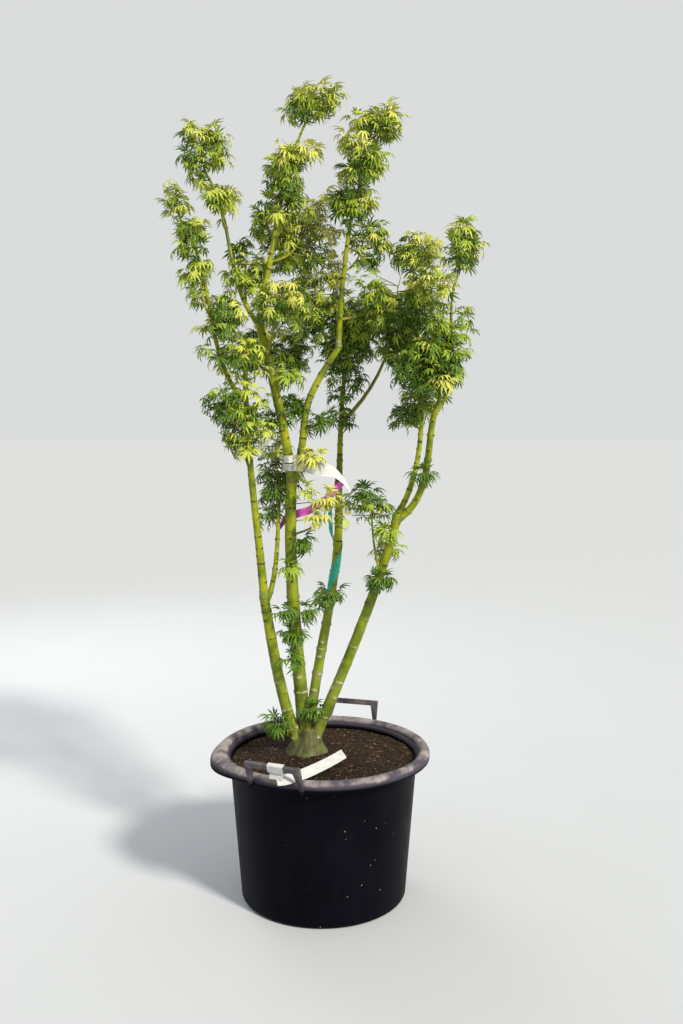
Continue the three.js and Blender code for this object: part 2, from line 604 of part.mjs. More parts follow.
// A tag wound round the bar of the front handle. It hangs from the bar, is folded, and its tail is laid over
// the rim, behind the handle's leg. `away` is a place from the handle's foot along the handle, and `through`
// a place from the handle's inner face.
function addHandleTag(frame) {
  const x = 10;
  const lean = THREE.MathUtils.degToRad(HANDLE_LEAN);
  const [low, high] = [HANDLE_HEIGHT - HANDLE_BAR, HANDLE_HEIGHT];
  const off = 1.5;
  const route = [
    [low - off, 1.5], [low - off, HANDLE_THICKNESS], [low, HANDLE_THICKNESS + off],
    [high, HANDLE_THICKNESS + off], [high + off, HANDLE_THICKNESS], [high + off, 0], [high, -off], [low + 8, -off],
  ].map(([away, through]) => [
    x, -(HANDLE_FOOT_OUT + away * Math.sin(lean) + through * Math.cos(lean)),
    HANDLE_FOOT + away * Math.cos(lean) - through * Math.sin(lean),
  ]);
  const loop = toSolid(strip(route, TAG_WIDTH, new THREE.Vector3(1, 0, 0), TAG_WIDTH, 0.6, 21));
  const [, y, z] = route[0].map((place, i) => (place + route[1][i]) / 2);
  const fall = [[x, y, z], [x, y - 1.4, z - 5], [x, y - 3, z - 18]];
  const hanging = toSolid(strip(fall, TAG_TAIL_WIDTH, new THREE.Vector3(1, 0, 0), TAG_TAIL_WIDTH, 0.6, 4));
  const tailRoute = [
    [13, -300, 403], [34, -284, 403.6], [52, -246, 404.1], [68, -190, 404.8], [81, -125, 405.4], [90, -66, 407],
  ];
  const tail = toSolid(strip(tailRoute, TAG_TAIL_WIDTH, new THREE.Vector3(-0.86, 0.2, 0.45), TAG_TAIL_WIDTH, 0.6, 14));
  const solid = largestBody(wasm.Manifold.union([loop, hanging, tail]));
  addMesh("handle_tag", toGeometry(solid), MATERIALS.white, frame);
}

addPot();
addSoil();
const frontFrame = handleFrame(FRONT_HANDLE_BEARING);
addHandle("pot_handle_front", frontFrame);
addHandle("pot_handle_back", handleFrame(BACK_HANDLE_BEARING));
const crownWide = addRootCrown();
for (const plan of LIMBS) addLimb(plan, crownWide);
addMasses([addLabelStrap(), addRibbon(), addTape()]);
addHandleTag(frontFrame);

export default part;
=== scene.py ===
import math
import random

import bmesh
import bpy
import numpy as np
from mathutils import Matrix, Vector, noise


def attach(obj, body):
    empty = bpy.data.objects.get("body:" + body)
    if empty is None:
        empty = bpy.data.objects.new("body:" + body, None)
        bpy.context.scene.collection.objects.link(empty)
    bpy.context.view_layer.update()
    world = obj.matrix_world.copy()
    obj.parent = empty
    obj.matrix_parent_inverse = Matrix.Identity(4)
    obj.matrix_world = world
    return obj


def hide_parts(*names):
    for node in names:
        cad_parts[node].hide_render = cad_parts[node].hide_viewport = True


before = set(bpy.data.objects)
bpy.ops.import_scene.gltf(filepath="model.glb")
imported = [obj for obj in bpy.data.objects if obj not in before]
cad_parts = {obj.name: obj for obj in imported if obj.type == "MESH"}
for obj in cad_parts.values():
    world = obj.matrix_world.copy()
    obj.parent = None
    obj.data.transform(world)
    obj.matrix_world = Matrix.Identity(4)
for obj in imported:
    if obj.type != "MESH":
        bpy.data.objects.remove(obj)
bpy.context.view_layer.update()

# The view: the camera is held upright at chest height, two and a half metres in front of the pot's middle,
# and tipped slightly down.
CAMERA_PLACE = (0.0, -2.58, 1.245)
CAMERA_TIP = math.radians(90 - 5.2)
CAMERA_TURN = math.radians(-1.05)
FOCAL_PIXELS = 1006
FRAME_HEIGHT = 1024
SENSOR = 36.0

camera = bpy.data.objects.new("camera", bpy.data.cameras.new("camera"))
camera.location = CAMERA_PLACE
camera.rotation_euler = (CAMERA_TIP, 0, CAMERA_TURN)
camera.data.sensor_width = SENSOR
camera.data.lens = SENSOR * FOCAL_PIXELS / FRAME_HEIGHT
bpy.context.scene.collection.objects.link(camera)
bpy.context.scene.camera = camera
bpy.context.scene.view_settings.view_transform = "Standard"


# The light: a large warm key from high on the right and in front, a soft lamp behind to draw the outline,
# and a pale even surround, as in a studio with white walls.
KEY_PLACE = Vector((2.20, -2.48, 2.48))
KEY_STRENGTH = 4.7
KEY_SPREAD = math.radians(9)
KEY_COLOUR = (1.0, 0.93, 0.79)
BACK_PLACE = Vector((-1.8, 2.8, 2.6))
BACK_WATTS = 45
BACK_WIDTH = 2.2
SURROUND_COLOUR = (0.93, 0.95, 0.94, 1)
SURROUND_STRENGTH = 0.76

key_light = bpy.data.lights.new("key_light", "SUN")
key_light.energy = KEY_STRENGTH
key_light.angle = KEY_SPREAD
key_light.color = KEY_COLOUR
back_light = bpy.data.lights.new("back_light", "AREA")
back_light.shape = "DISK"
back_light.size = BACK_WIDTH
back_light.energy = BACK_WATTS
for lamp, place in ((key_light, KEY_PLACE), (back_light, BACK_PLACE)):
    lit = bpy.data.objects.new(lamp.name, lamp)
    lit.location = place
    lit.rotation_euler = place.to_track_quat("Z", "Y").to_euler()
    bpy.context.scene.collection.objects.link(lit)

surround = bpy.data.worlds.new("surround")
surround.use_nodes = True
backdrop = surround.node_tree.nodes["Background"]
backdrop.inputs["Color"].default_value = SURROUND_COLOUR
backdrop.inputs["Strength"].default_value = SURROUND_STRENGTH
bpy.context.scene.world = surround


# The floor: a wide plain sheet of pale card, so far across that its edge is at the horizon.
FLOOR_REACH = 60.0
FLOOR_COLOUR = (0.440, 0.462, 0.496)
FLOOR_UNEVENNESS = 1.04


class Paint:
    """One socket of a material's nodes. Arithmetic on it adds Math nodes, and node() adds any other."""

    def __init__(self, tree, socket=None):
        self.tree = tree
        self.socket = socket

    def node(self, kind, sockets=(), out=0, **settings):
        made = self.tree.nodes.new("ShaderNode" + kind)
        for name, value in settings.items():
            setattr(made, name, value)
        for name, value in dict(sockets).items():
            if isinstance(value, Paint):
                self.tree.links.new(value.socket, made.inputs[name])
            else:
                made.inputs[name].default_value = value
        return Paint(self.tree, made.outputs[out])

    def maths(self, operation, first, second):
        return self.node("Math", {0: first, 1: second}, operation=operation)

    def __add__(self, other):
        return self.maths("ADD", self, other)

    def __sub__(self, other):
        return self.maths("SUBTRACT", self, other)

    def __rsub__(self, other):
        return self.maths("SUBTRACT", other, self)

    def __mul__(self, other):
        return self.maths("MULTIPLY", self, other)

    __radd__ = __add__
    __rmul__ = __mul__

    def step(self, low, high):
        """0 below low, 1 above high, and a smooth rise between them."""
        return self.node("MapRange", {"Value": self, "From Min": low, "From Max": high},
                         interpolation_type="SMOOTHSTEP")

    def mix(self, low, high):
        """The colour low where this is 0, and the colour high where it is 1."""
        low = (*low, 1) if isinstance(low, tuple) else low
        high = (*high, 1) if isinstance(high, tuple) else high
        return self.node("Mix", {0: self, 6: low, 7: high}, out=2, data_type="RGBA")

    def grain(self, where, scale, detail=3.0, roughness=0.55):
        """Cloudy noise from 0 to 1 over the coordinates `where`."""
        return self.node("TexNoise", {"Vector": where, "Scale": scale, "Detail": detail,
                                      "Roughness": roughness})

    def stretched(self, where, scale):
        return self.node("Mapping", {"Vector": where, "Scale": scale})

    def relief(self, strength, distance):
        """This height as a bump."""
        return self.node("Bump", {"Height": self, "Strength": strength, "Distance": distance})

    def surface(self, colour, roughness, relief=None, shine=0.5):
        """A surface shader of one colour, roughness and relief. Its shine is the highlights' strength."""
        sockets = {"Base Color": colour, "Roughness": roughness, "Specular IOR Level": shine}
        return self.node("BsdfPrincipled", {**sockets, "Normal": relief} if relief else sockets)


def material(name, recipe):
    """A material whose surface shader is what recipe(paint, place) returns, with place in the object."""
    made = bpy.data.materials.new(name)
    made.use_nodes = True
    tree = made.node_tree
    tree.nodes.clear()
    paint = Paint(tree)
    place = paint.node("TexCoord", out=3)
    shader = recipe(paint, place)
    output = tree.nodes.new("ShaderNodeOutputMaterial")
    tree.links.new(shader.socket, output.inputs["Surface"])
    return made


def card(paint, place):
    fleck = paint.grain(place, 3.0)
    colour = fleck.mix(FLOOR_COLOUR, tuple(c * FLOOR_UNEVENNESS for c in FLOOR_COLOUR))
    return paint.surface(colour, 0.9)


floor_mesh = bmesh.new()
bmesh.ops.create_grid(floor_mesh, x_segments=1, y_segments=1, size=FLOOR_REACH)
floor_data = bpy.data.meshes.new("floor")
floor_mesh.to_mesh(floor_data)
floor_mesh.free()
floor_data.materials.append(material("pale_card", card))
floor = bpy.data.objects.new("floor", floor_data)
bpy.context.scene.collection.objects.link(floor)


# The pot: a 60 litre nursery pot of black recycled plastic with a purple cast, moulded in one piece. Its
# rim is rolled over with a short skirt, dusty on top, and bent out a little on the left.
POT_HEIGHT = 0.395
POT_STEPS = 144
BASE_RADIUS = 0.217
BASE_ROUND = 0.012
TOP_RADIUS = 0.245
WALL_TOP = 0.372
WALL = 0.004
LIP_MIDDLE = 0.264
LIP_ROUND = 0.014
SKIRT_BOTTOM = 0.371
SKIRT_WALL = 0.0035
RIM_UNDERSIDE = 0.3815
NECK_RADIUS = 0.2525
POT_FLOOR = 0.006
POT_FLOOR_CORNER = 0.005
BEND_BEARING = math.radians(197)
BEND_HALF = math.radians(38)
BEND_OUT = 0.020
BEND_DOWN = 0.006
RIM_ROOT = 0.250
PLASTIC_DARK = (0.0010, 0.0012, 0.0034)
PLASTIC_WORN = (0.0036, 0.0031, 0.0070)
RIM_PURPLE = (0.070, 0.060, 0.084)
DUST = (0.330, 0.300, 0.285)
SPECK = (0.32, 0.31, 0.33)


def arc(middle, radius, start, end, steps):
    """Points on a round stretch of an outline, from one angle to another in degrees."""
    angles = [math.radians(start + (end - start) * i / steps) for i in range(steps + 1)]
    return [(middle[0] + radius * math.cos(a), middle[1] + radius * math.sin(a)) for a in angles]


def turned(profile, steps):
    """A round solid: an outline of (radius, height) from axis to axis, spun all the way round."""
    bm = bmesh.new()
    verts = [bm.verts.new((radius, 0, height)) for radius, height in profile]
    edges = [bm.edges.new(pair) for pair in zip(verts, verts[1:])]
    bmesh.ops.spin(bm, geom=verts + edges, cent=(0, 0, 0), axis=(0, 0, 1), angle=2 * math.pi,
                   steps=steps, use_merge=True)
    bmesh.ops.remove_doubles(bm, verts=bm.verts, dist=1e-5)
    bmesh.ops.recalc_face_normals(bm, faces=bm.faces)
    return bm


def finished(name, bm, surface, sharp=math.radians(38)):
    """The shape as an object at the origin, smooth but for edges sharper than `sharp`."""
    for edge in bm.edges:
        edge.smooth = edge.calc_face_angle(0) < sharp
    for face in bm.faces:
        face.smooth = True
    mesh = bpy.data.meshes.new(name)
    bm.to_mesh(mesh)
    bm.free()
    mesh.materials.append(surface)
    made = bpy.data.objects.new(name, mesh)
    bpy.context.scene.collection.objects.link(made)
    return made


def rim_bend(p):
    """The rim's bend to the left, as it is in the solids."""
    radius = math.hypot(p.x, p.y)
    off = abs((math.atan2(p.y, p.x) - BEND_BEARING + 3 * math.pi) % (2 * math.pi) - math.pi) / BEND_HALF
    if radius < RIM_ROOT or p.z < SKIRT_BOTTOM - 0.001 or off >= 1:
        return
    share = math.cos(off * math.pi / 2) ** 2 * (radius - RIM_ROOT) / (LIP_MIDDLE + LIP_ROUND - RIM_ROOT)
    p.x *= 1 + share * BEND_OUT / radius
    p.y *= 1 + share * BEND_OUT / radius
    p.z -= share * BEND_DOWN


def pot_plastic(purple, dust):
    """A recipe for the pot's plastic, with its own share of bleached purple and of dust near the rim."""
    def recipe(paint, place):
        height = paint.node("SeparateXYZ", {0: place}, out=2)
        cloud = paint.grain(place, 7.0, 5.0, 0.62)
        fine = paint.grain(place, 90.0, 4.0)
        streak = paint.grain(paint.stretched(place, (26, 26, 2.2)), 1.0, 4.0)
        worn = (cloud * 0.6 + streak * 0.4).step(0.42, 0.72)
        colour = worn.mix(PLASTIC_DARK, PLASTIC_WORN)
        on_rim = height.step(WALL_TOP, WALL_TOP + 0.010)
        colour = (on_rim * purple).mix(colour, RIM_PURPLE)
        patch = paint.grain(place, 19.0, 5.0, 0.6)
        on_top = height.step(POT_HEIGHT - 0.020, POT_HEIGHT - 0.006)
        settled = (on_top * 0.42 + patch * 1.1 + fine * 0.2).step(0.88, 1.28)
        dusty = settled * height.step(WALL_TOP, WALL_TOP + 0.014)
        colour = (dusty * dust).mix(colour, DUST)
        cells = paint.node("TexVoronoi", {"Vector": place, "Scale": 62.0}, feature="F1")
        chosen = paint.grain(place, 31.0, 1.0)
        speck = (1 - cells.step(0.06, 0.11)) * chosen.step(0.60, 0.66)
        colour = (speck * 0.75).mix(colour, SPECK)
        gloss = 0.44 + worn * 0.16 + dusty * 0.28 + speck * 0.3
        bump = (fine * 0.5 + streak * 0.5).relief(0.12, 0.0010)
        return paint.surface(colour, gloss, bump, 0.05)
    return recipe


RIM_RADIUS = LIP_MIDDLE + LIP_ROUND
SKIRT_INSIDE = RIM_RADIUS - SKIRT_WALL
pot_outline = [
    (0, 0), *arc((BASE_RADIUS - BASE_ROUND, BASE_ROUND), BASE_ROUND, -90, 0, 6),
    *[(BASE_RADIUS + (TOP_RADIUS - BASE_RADIUS) * i / 12, BASE_ROUND + (WALL_TOP - BASE_ROUND) * i / 12)
      for i in range(1, 13)],
    (NECK_RADIUS, RIM_UNDERSIDE), (SKIRT_INSIDE, RIM_UNDERSIDE), (SKIRT_INSIDE, SKIRT_BOTTOM),
    (RIM_RADIUS, SKIRT_BOTTOM), *arc((LIP_MIDDLE, POT_HEIGHT - LIP_ROUND), LIP_ROUND, 0, 180, 14),
    (TOP_RADIUS - WALL, WALL_TOP), (BASE_RADIUS - WALL, BASE_ROUND),
    (BASE_RADIUS - WALL - POT_FLOOR_CORNER, POT_FLOOR), (0, POT_FLOOR),
]
pot_shape = turned(pot_outline, POT_STEPS)
for vert in pot_shape.verts:
    rim_bend(vert.co)
pot = finished("nursery_pot", pot_shape, material("nursery_plastic", pot_plastic(0.85, 0.80)))
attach(pot, "root")
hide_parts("pot")


# The handles: two stout brackets of the same plastic, moulded with the pot, that lean out from the rim.
# Each is a bar on two legs that narrow downwards to a point, with softly worn edges.
HANDLE_BEARINGS = {"pot_handle_front": math.radians(-24), "pot_handle_back": math.radians(163)}
HANDLE_WIDTH = 0.146
HANDLE_LEG = 0.020
HANDLE_LEG_FOOT = 0.006
HANDLE_HEIGHT = 0.078
HANDLE_BAR = 0.015
HANDLE_THICKNESS = 0.010
HANDLE_LEAN = math.radians(20)
HANDLE_FOOT = (0, -0.2690, 0.366)
HANDLE_WEAR = 0.0022

handle_plastic = material("handle_plastic", pot_plastic(0.50, 0.36))


def on_handle(bearing):
    """From the handle's own upright frame, with its outside towards +Z, to its place on the pot."""
    lean = Matrix.Rotation(math.pi / 2 + HANDLE_LEAN, 4, "X")
    return Matrix.Rotation(bearing, 4, "Z") @ Matrix.Translation(HANDLE_FOOT) @ lean


half = HANDLE_WIDTH / 2
inner = half - HANDLE_LEG
foot_inner = half - HANDLE_LEG_FOOT
under = HANDLE_HEIGHT - HANDLE_BAR
handle_outline = [(-half, 0), (-half, HANDLE_HEIGHT), (half, HANDLE_HEIGHT), (half, 0),
                  (foot_inner, 0), (inner, under), (-inner, under), (-foot_inner, 0)]
for node, bearing in HANDLE_BEARINGS.items():
    bracket = bmesh.new()
    face = bracket.faces.new([bracket.verts.new((x, y, 0)) for x, y in handle_outline])
    raised = bmesh.ops.extrude_face_region(bracket, geom=[face])["geom"]
    bmesh.ops.translate(bracket, verts=[g for g in raised if isinstance(g, bmesh.types.BMVert)],
                        vec=(0, 0, HANDLE_THICKNESS))
    bmesh.ops.recalc_face_normals(bracket, faces=bracket.faces)
    bmesh.ops.bevel(bracket, geom=bracket.edges[:], offset=HANDLE_WEAR, segments=3, profile=0.5,
                    affect="EDGES", material=-1)
    bmesh.ops.transform(bracket, matrix=on_handle(bearing), verts=bracket.verts)
    handle = finished(node + "_bracket", bracket, handle_plastic)
    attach(handle, "root")
    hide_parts(node)


# The soil: dark peat compost, watered in level round the stems and a little lower at the wall, with a
# crumbly top full of root fibre and bark chips.
SOIL_TOP = 0.378
SOIL_EDGE = 0.368
SOIL_RADIUS = 0.2400
SOIL_LEVEL = 0.125
SOIL_FOOT = 0.30
SOIL_TAPER = 0.004
SOIL_SETTLING = 0.0035
SOIL_RINGS = 66
SOIL_STEPS = 176
SOIL_DARK = (0.008, 0.005, 0.003)
SOIL_BROWN = (0.030, 0.017, 0.009)
SOIL_LIGHT = (0.120, 0.070, 0.036)
CRUMBS = ((0.0032, 22), (0.0022, 70), (0.0014, 180))


def ground_height(x, y):
    """The height of the soil's crumbly top, with crumbs of each height and fineness in CRUMBS."""
    away = math.hypot(x, y)
    fall = max(0.0, (away - SOIL_LEVEL) / (SOIL_RADIUS - SOIL_LEVEL))
    level = SOIL_TOP - SOIL_SETTLING - (SOIL_TOP - SOIL_EDGE) * fall
    return level + sum(tall * noise.noise(Vector((x, y, 0.3)) * fine) for tall, fine in CRUMBS)


def compost(paint, place):
    crumb = paint.grain(place, 130.0, 6.0, 0.7)
    lump = paint.grain(place, 28.0, 4.0)
    fibre = paint.grain(paint.stretched(place, (40, 260, 60)), 1.0, 3.0)
    colour = (crumb * 0.6 + lump * 0.4).step(0.36, 0.66).mix(SOIL_DARK, SOIL_BROWN)
    colour = (fibre.step(0.62, 0.78) * 0.6).mix(colour, SOIL_LIGHT)
    bump = (crumb + lump * 0.6).relief(0.8, 0.004)
    return paint.surface(colour, 0.93, bump, 0.15)


soil_rings = [(SOIL_RADIUS * i / SOIL_RINGS, SOIL_EDGE) for i in reversed(range(SOIL_RINGS + 1))]
soil_shape = turned([(0, SOIL_FOOT), (SOIL_RADIUS - SOIL_TAPER, SOIL_FOOT), *soil_rings], SOIL_STEPS)
for vert in soil_shape.verts:
    if vert.co.z > (SOIL_FOOT + SOIL_EDGE) / 2:
        vert.co.z = ground_height(vert.co.x, vert.co.y)
soil = finished("compost", soil_shape, material("peat_compost", compost), math.pi)
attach(soil, "root")
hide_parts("soil")


# The litter on the soil: chips of bark and short dead roots, raked in by hand, a few millimetres long.
# They are slim lozenges of a few faces, joined into a piece for each colour: its tint, and its share.
LITTER = {"litter_dark": ((0.020, 0.012, 0.007), 0.45), "litter_brown": ((0.085, 0.045, 0.021), 0.40),
          "litter_pale": ((0.19, 0.13, 0.075), 0.10)}
CHIPS = 2600
CHIP_LENGTH = (0.0022, 0.0075)
CHIP_WIDTH = (0.0010, 0.0026)
CHIP_TILT = 0.3
CHIP_LIFT = 0.0008
CHIP_SHAPE = np.array([(-1, 0, 0), (0, -0.5, 0.1), (1, 0, 0), (0, 0.5, 0.1), (0, 0, 0.7), (0, 0, -0.5)])
CHIP_FACES = np.array([face for i in range(4) for face in ((i, (i + 1) % 4, 4), ((i + 1) % 4, i, 5))])


def joined(name, points, faces, surface, smooth=False):
    """Many small shapes as one object, from an array of points and one of three-sided faces."""
    mesh = bpy.data.meshes.new(name)
    mesh.vertices.add(len(points))
    mesh.vertices.foreach_set("co", np.asarray(points, np.float32).ravel())
    mesh.loops.add(faces.size)
    mesh.loops.foreach_set("vertex_index", faces.astype(np.int32).ravel())
    mesh.polygons.add(len(faces))
    mesh.polygons.foreach_set("loop_start", np.arange(0, faces.size, 3, dtype=np.int32))
    mesh.polygons.foreach_set("use_smooth", np.full(len(faces), smooth))
    mesh.update(calc_edges=True)
    mesh.materials.append(surface)
    made = bpy.data.objects.new(name, mesh)
    bpy.context.scene.collection.objects.link(made)
    return made


def copies(shape, faces, frames):
    """One copy of a small shape for each frame (place, and its three scaled axes)."""
    frames = np.array(frames)
    points = frames[:, None, 0] + np.einsum("pk,nkc->npc", shape, frames[:, 1:])
    numbers = faces[None] + (np.arange(len(frames)) * len(shape))[:, None, None]
    return points.reshape(-1, 3), numbers.reshape(-1, 3)


def plain(colour, roughness):
    """A recipe for a thin growing thing: one base colour, and a faint unevenness in its gloss."""
    def recipe(paint, place):
        gloss = roughness + (paint.grain(place, 55.0) - 0.5) * 0.25
        return paint.surface((*colour, 1), gloss, shine=0.22)
    return recipe


chance = random.Random(11)
litter = {name: [] for name in LITTER}
for _ in range(CHIPS):
    bearing = chance.uniform(0, 2 * math.pi)
    away = (SOIL_RADIUS - 0.006) * math.sqrt(chance.random())
    x, y = away * math.cos(bearing), away * math.sin(bearing)
    length = chance.uniform(*CHIP_LENGTH)
    width = chance.uniform(*CHIP_WIDTH)
    turn = Matrix.Rotation(chance.uniform(0, 2 * math.pi), 3, "Z")
    turn = turn @ Matrix.Rotation(chance.gauss(0, CHIP_TILT), 3, "Y")
    kind = chance.choices(list(LITTER), [share for _, share in LITTER.values()])[0]
    litter[kind].append([(x, y, ground_height(x, y) + CHIP_LIFT), turn.col[0] * length,
                         turn.col[1] * width, turn.col[2] * width])
for kind, (tint, _) in LITTER.items():
    chips = joined(kind, *copies(CHIP_SHAPE, CHIP_FACES, litter[kind]), material(kind, plain(tint, 0.85)))
    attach(chips, "root")


# The stems and boughs: four upright stems from one root, each forking into boughs. The bark is smooth and
# green, limier where young, with grey patches and with olive patches of painted shade, as of dappled sun,
# and with rings and pairs of bud scars every few centimetres, pale near the ground and dark above. A limb
# has its parent, its root as a place or a share of the parent's length, the handles and the end of its
# curve, and its thickness at foot and end, all in millimetres.
MM = 0.001
LIMBS = [
    ("stem_main", None, (-48, 22, 392), [(-65, 25, 625), (-95, -5, 860), (-80, -10, 1090)], 38, 27),
    ("stem_left", None, (-66, 12, 396), [(-115, 0, 530), (-130, -35, 665), (-150, -50, 795)], 31, 25),
    ("stem_right", None, (-28, 18, 396), [(55, 5, 600), (145, -25, 815), (190, -40, 1010)], 30, 23),
    ("stem_middle", None, (-42, 40, 396), [(-15, 60, 640), (45, 90, 820), (42, 112, 1010)], 28, 21),
    ("bough_left_outer", "stem_left", 1,
     [(-165, -70, 1010), (-200, -95, 1225), (-185, -115, 1435)], 22, 10),
    ("bough_left_inner", "stem_left", 0.96, [(-112, -25, 840), (-118, 5, 980), (-112, 42, 1110)], 15, 7),
    ("bough_left_tower", "bough_left_outer", 0.77,
     [(-285, -120, 1380), (-255, -130, 1570), (-318, -130, 1685)], 12, 6),
    ("bough_main_left", "stem_main", 1, [(-95, -15, 1225), (-130, -25, 1360), (-160, -30, 1490)], 25, 20),
    ("leader", "bough_main_left", 1, [(-125, -25, 1655), (-110, 0, 1825), (-46, 0, 1975)], 16, 6),
    ("bough_top_left", "bough_main_left", 0.97,
     [(-250, 10, 1590), (-225, 35, 1755), (-288, 40, 1855)], 13, 6),
    ("bough_main_right", "stem_main", 0.97, [(-15, 15, 1275), (-95, 0, 1230), (40, 30, 1430)], 20, 16),
    ("bough_right_tower", "bough_main_right", 1, [(48, 42, 1590), (60, 15, 1760), (110, 22, 1880)], 15, 6),
    ("bough_middle_top", "stem_middle", 1, [(45, 130, 1140), (45, 155, 1330), (75, 178, 1475)], 19, 8),
    ("bough_right_inner", "stem_right", 1, [(290, 15, 1160), (245, 45, 1400), (240, 62, 1580)], 16, 6),
    ("bough_right_outer", "stem_right", 0.97,
     [(285, -60, 1055), (250, -80, 1195), (280, -90, 1275)], 19, 15),
    ("bough_right_crown", "bough_right_outer", 1,
     [(308, -95, 1335), (262, -95, 1420), (270, -95, 1495)], 11, 7),
    ("bough_right_side", "bough_right_outer", 0.95,
     [(345, -80, 1330), (300, -80, 1450), (322, -78, 1575)], 10, 6),
]
LIMB_SIDES = 20
RING_STEP = 0.0025
COLLAR_LENGTH = 0.030
COLLAR_SWELL = 0.22
COLLAR_AGE = 0.022
SCAR_GAP = 0.016
SCAR_GAP_GROWTH = 0.70
SCAR_GAP_SPREAD = (0.5, 1.6)
RING_HALF, RING_HEIGHT = 0.0026, 0.00045
BUD_HALF, BUD_HEIGHT = 0.0042, 0.0021
LUMPS = ((0.045, 32), (0.020, 90))
AGED = 0.35
BARK_LIME = (0.270, 0.296, 0.010)
BARK_GREEN = (0.190, 0.255, 0.008)
# Olive: painted shade in dappled patches on the stems and boughs, and the root crown's own greener patches.
BARK_OLIVE_AND_PAINTED_SHADE = (0.080, 0.118, 0.009)
BARK_GREY = (0.215, 0.185, 0.105)
BARK_SCAR = (0.050, 0.034, 0.018)
BARK_RING = (0.400, 0.370, 0.250)


def along(points, share):
    """The point of a drawn curve at a share of its length, from its end points and its handles."""
    while len(points) > 1:
        points = [a.lerp(b, share) for a, b in zip(points, points[1:])]
    return points[0]


def heading(points, share):
    return (along(points, min(share + 0.01, 1.0)) - along(points, max(share - 0.01, 0.0))).normalized()


def bark(paint, place):
    round_it = paint.node("UVMap", uv_map="UVMap")
    scar = paint.node("Attribute", attribute_name="scar", out=2)
    old = paint.node("Attribute", attribute_name="old", out=2)
    cloud = paint.grain(place, 16.0, 4.0)
    blotch = paint.grain(place, 55.0, 4.0, 0.6)
    streak = paint.grain(paint.stretched(round_it, (18, 260, 1)), 1.0, 4.0)
    fine = paint.grain(place, 420.0, 3.0)
    smooth = old.step(0.0, 0.24).mix(BARK_LIME, BARK_GREEN)
    # Painted dappled shade: cloudy patches of olive among the lime and green bark.
    colour = (cloud * 0.75 + streak * 0.25).step(0.37, 0.59).mix(BARK_OLIVE_AND_PAINTED_SHADE, smooth)
    grey = (blotch * 0.6 + cloud * 0.45 + old * 0.55).step(0.62, 0.86)
    colour = (grey * 0.8).mix(colour, BARK_GREY)
    ringed = (scar * (0.55 + blotch * 0.9)).step(0.25, 0.70)
    mark = old.step(0.10, 0.26).mix(BARK_SCAR, BARK_RING)
    colour = (ringed * 0.88).mix(colour, mark)
    gloss = 0.42 + grey * 0.25 + ringed * 0.2
    bump = (fine * 0.35 + streak * 0.5 + blotch * 0.5).relief(0.35, 0.0012)
    return paint.surface(colour, gloss, bump, 0.18)


def limb_radius(foot, end, length, share):
    """An even taper, with a collar where the limb leaves its parent."""
    collar = max(0.0, 1 - share * length / COLLAR_LENGTH)
    return (foot + (end - foot) * share) / 2 * (1 + COLLAR_SWELL * collar * collar)


def limb_shape(points, foot, end, seed, aged):
    """A limb as a tube along its curve, with lumps, ring scars and pairs of bud scars in its surface."""
    length = sum((along(points, (i + 1) / 40) - along(points, i / 40)).length for i in range(40))
    rings = round(length / RING_STEP)
    dice = random.Random(seed)
    gap = SCAR_GAP + SCAR_GAP_GROWTH * foot
    scars = []
    here = gap * 0.6
    while here < length:
        scars.append(here)
        here += gap * dice.uniform(*SCAR_GAP_SPREAD)
    bm = bmesh.new()
    uv = bm.loops.layers.uv.new("UVMap")
    bmesh.ops.create_grid(bm, x_segments=rings, y_segments=LIMB_SIDES, size=0.5, calc_uvs=True)
    scar_layer = bm.verts.layers.float.new("scar")
    old_layer = bm.verts.layers.float.new("old")
    frames = {}
    for vert in bm.verts:
        share = min(1.0, max(0.0, vert.co.x + 0.5))
        turn = (vert.co.y + 0.5) * 2 * math.pi
        ring = round(share * rings)
        if ring not in frames:
            tangent = heading(points, share)
            side = Vector((0, 1, 0)).cross(tangent).normalized()
            nearest = min(range(len(scars)), key=lambda i: abs(scars[i] - share * length), default=0)
            frames[ring] = (along(points, share), side, tangent.cross(side), nearest)
        middle, side, other, nearest = frames[ring]
        out = side * math.cos(turn) + other * math.sin(turn)
        off = abs(scars[nearest] - share * length) if scars else 1.0
        crest = math.exp(-(off / RING_HALF) ** 2)
        bud = abs(math.cos(turn - nearest * math.pi / 2 - seed)) ** 14 * math.exp(-(off / BUD_HALF) ** 2)
        radius = limb_radius(foot, end, length, share)
        point = middle + out * radius
        radius *= 1 + sum(depth * noise.noise(point * fine) for depth, fine in LUMPS)
        radius += (RING_HEIGHT * crest + BUD_HEIGHT * bud) * min(1.0, foot / 0.02)
        facing = 0.5 + 0.5 * math.cos(turn - nearest * 2.4 - seed)
        vert[scar_layer] = max(crest * (-0.3 + 1.15 * facing + 0.9 * noise.noise(point * 75)), bud)
        vert[old_layer] = max(aged * (1 - share), AGED * math.exp(-(share * length / COLLAR_AGE) ** 2))
        vert.co = middle + out * radius
    for face in bm.faces:
        for loop in face.loops:
            loop[uv].uv = (loop[uv].uv.x * length, loop[uv].uv.y * 0.08)
    bmesh.ops.remove_doubles(bm, verts=bm.verts, dist=1e-6)
    bmesh.ops.holes_fill(bm, edges=[e for e in bm.edges if e.is_boundary], sides=0)
    bmesh.ops.recalc_face_normals(bm, faces=bm.faces)
    return bm, length


bark_finish = material("lime_bark", bark)
limbs = {}
for index, (name, parent, start, bends, foot, end) in enumerate(LIMBS):
    first = along(limbs[parent][0], start) if parent else Vector(start) * MM
    points = [first] + [Vector(p) * MM for p in bends]
    shape, length = limb_shape(points, foot * MM, end * MM, index, 0.0 if parent else AGED)
    limbs[name] = (points, foot * MM, end * MM, length)
    limb = finished(name + "_bark", shape, bark_finish, math.pi)
    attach(limb, "root")
    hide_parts(name)


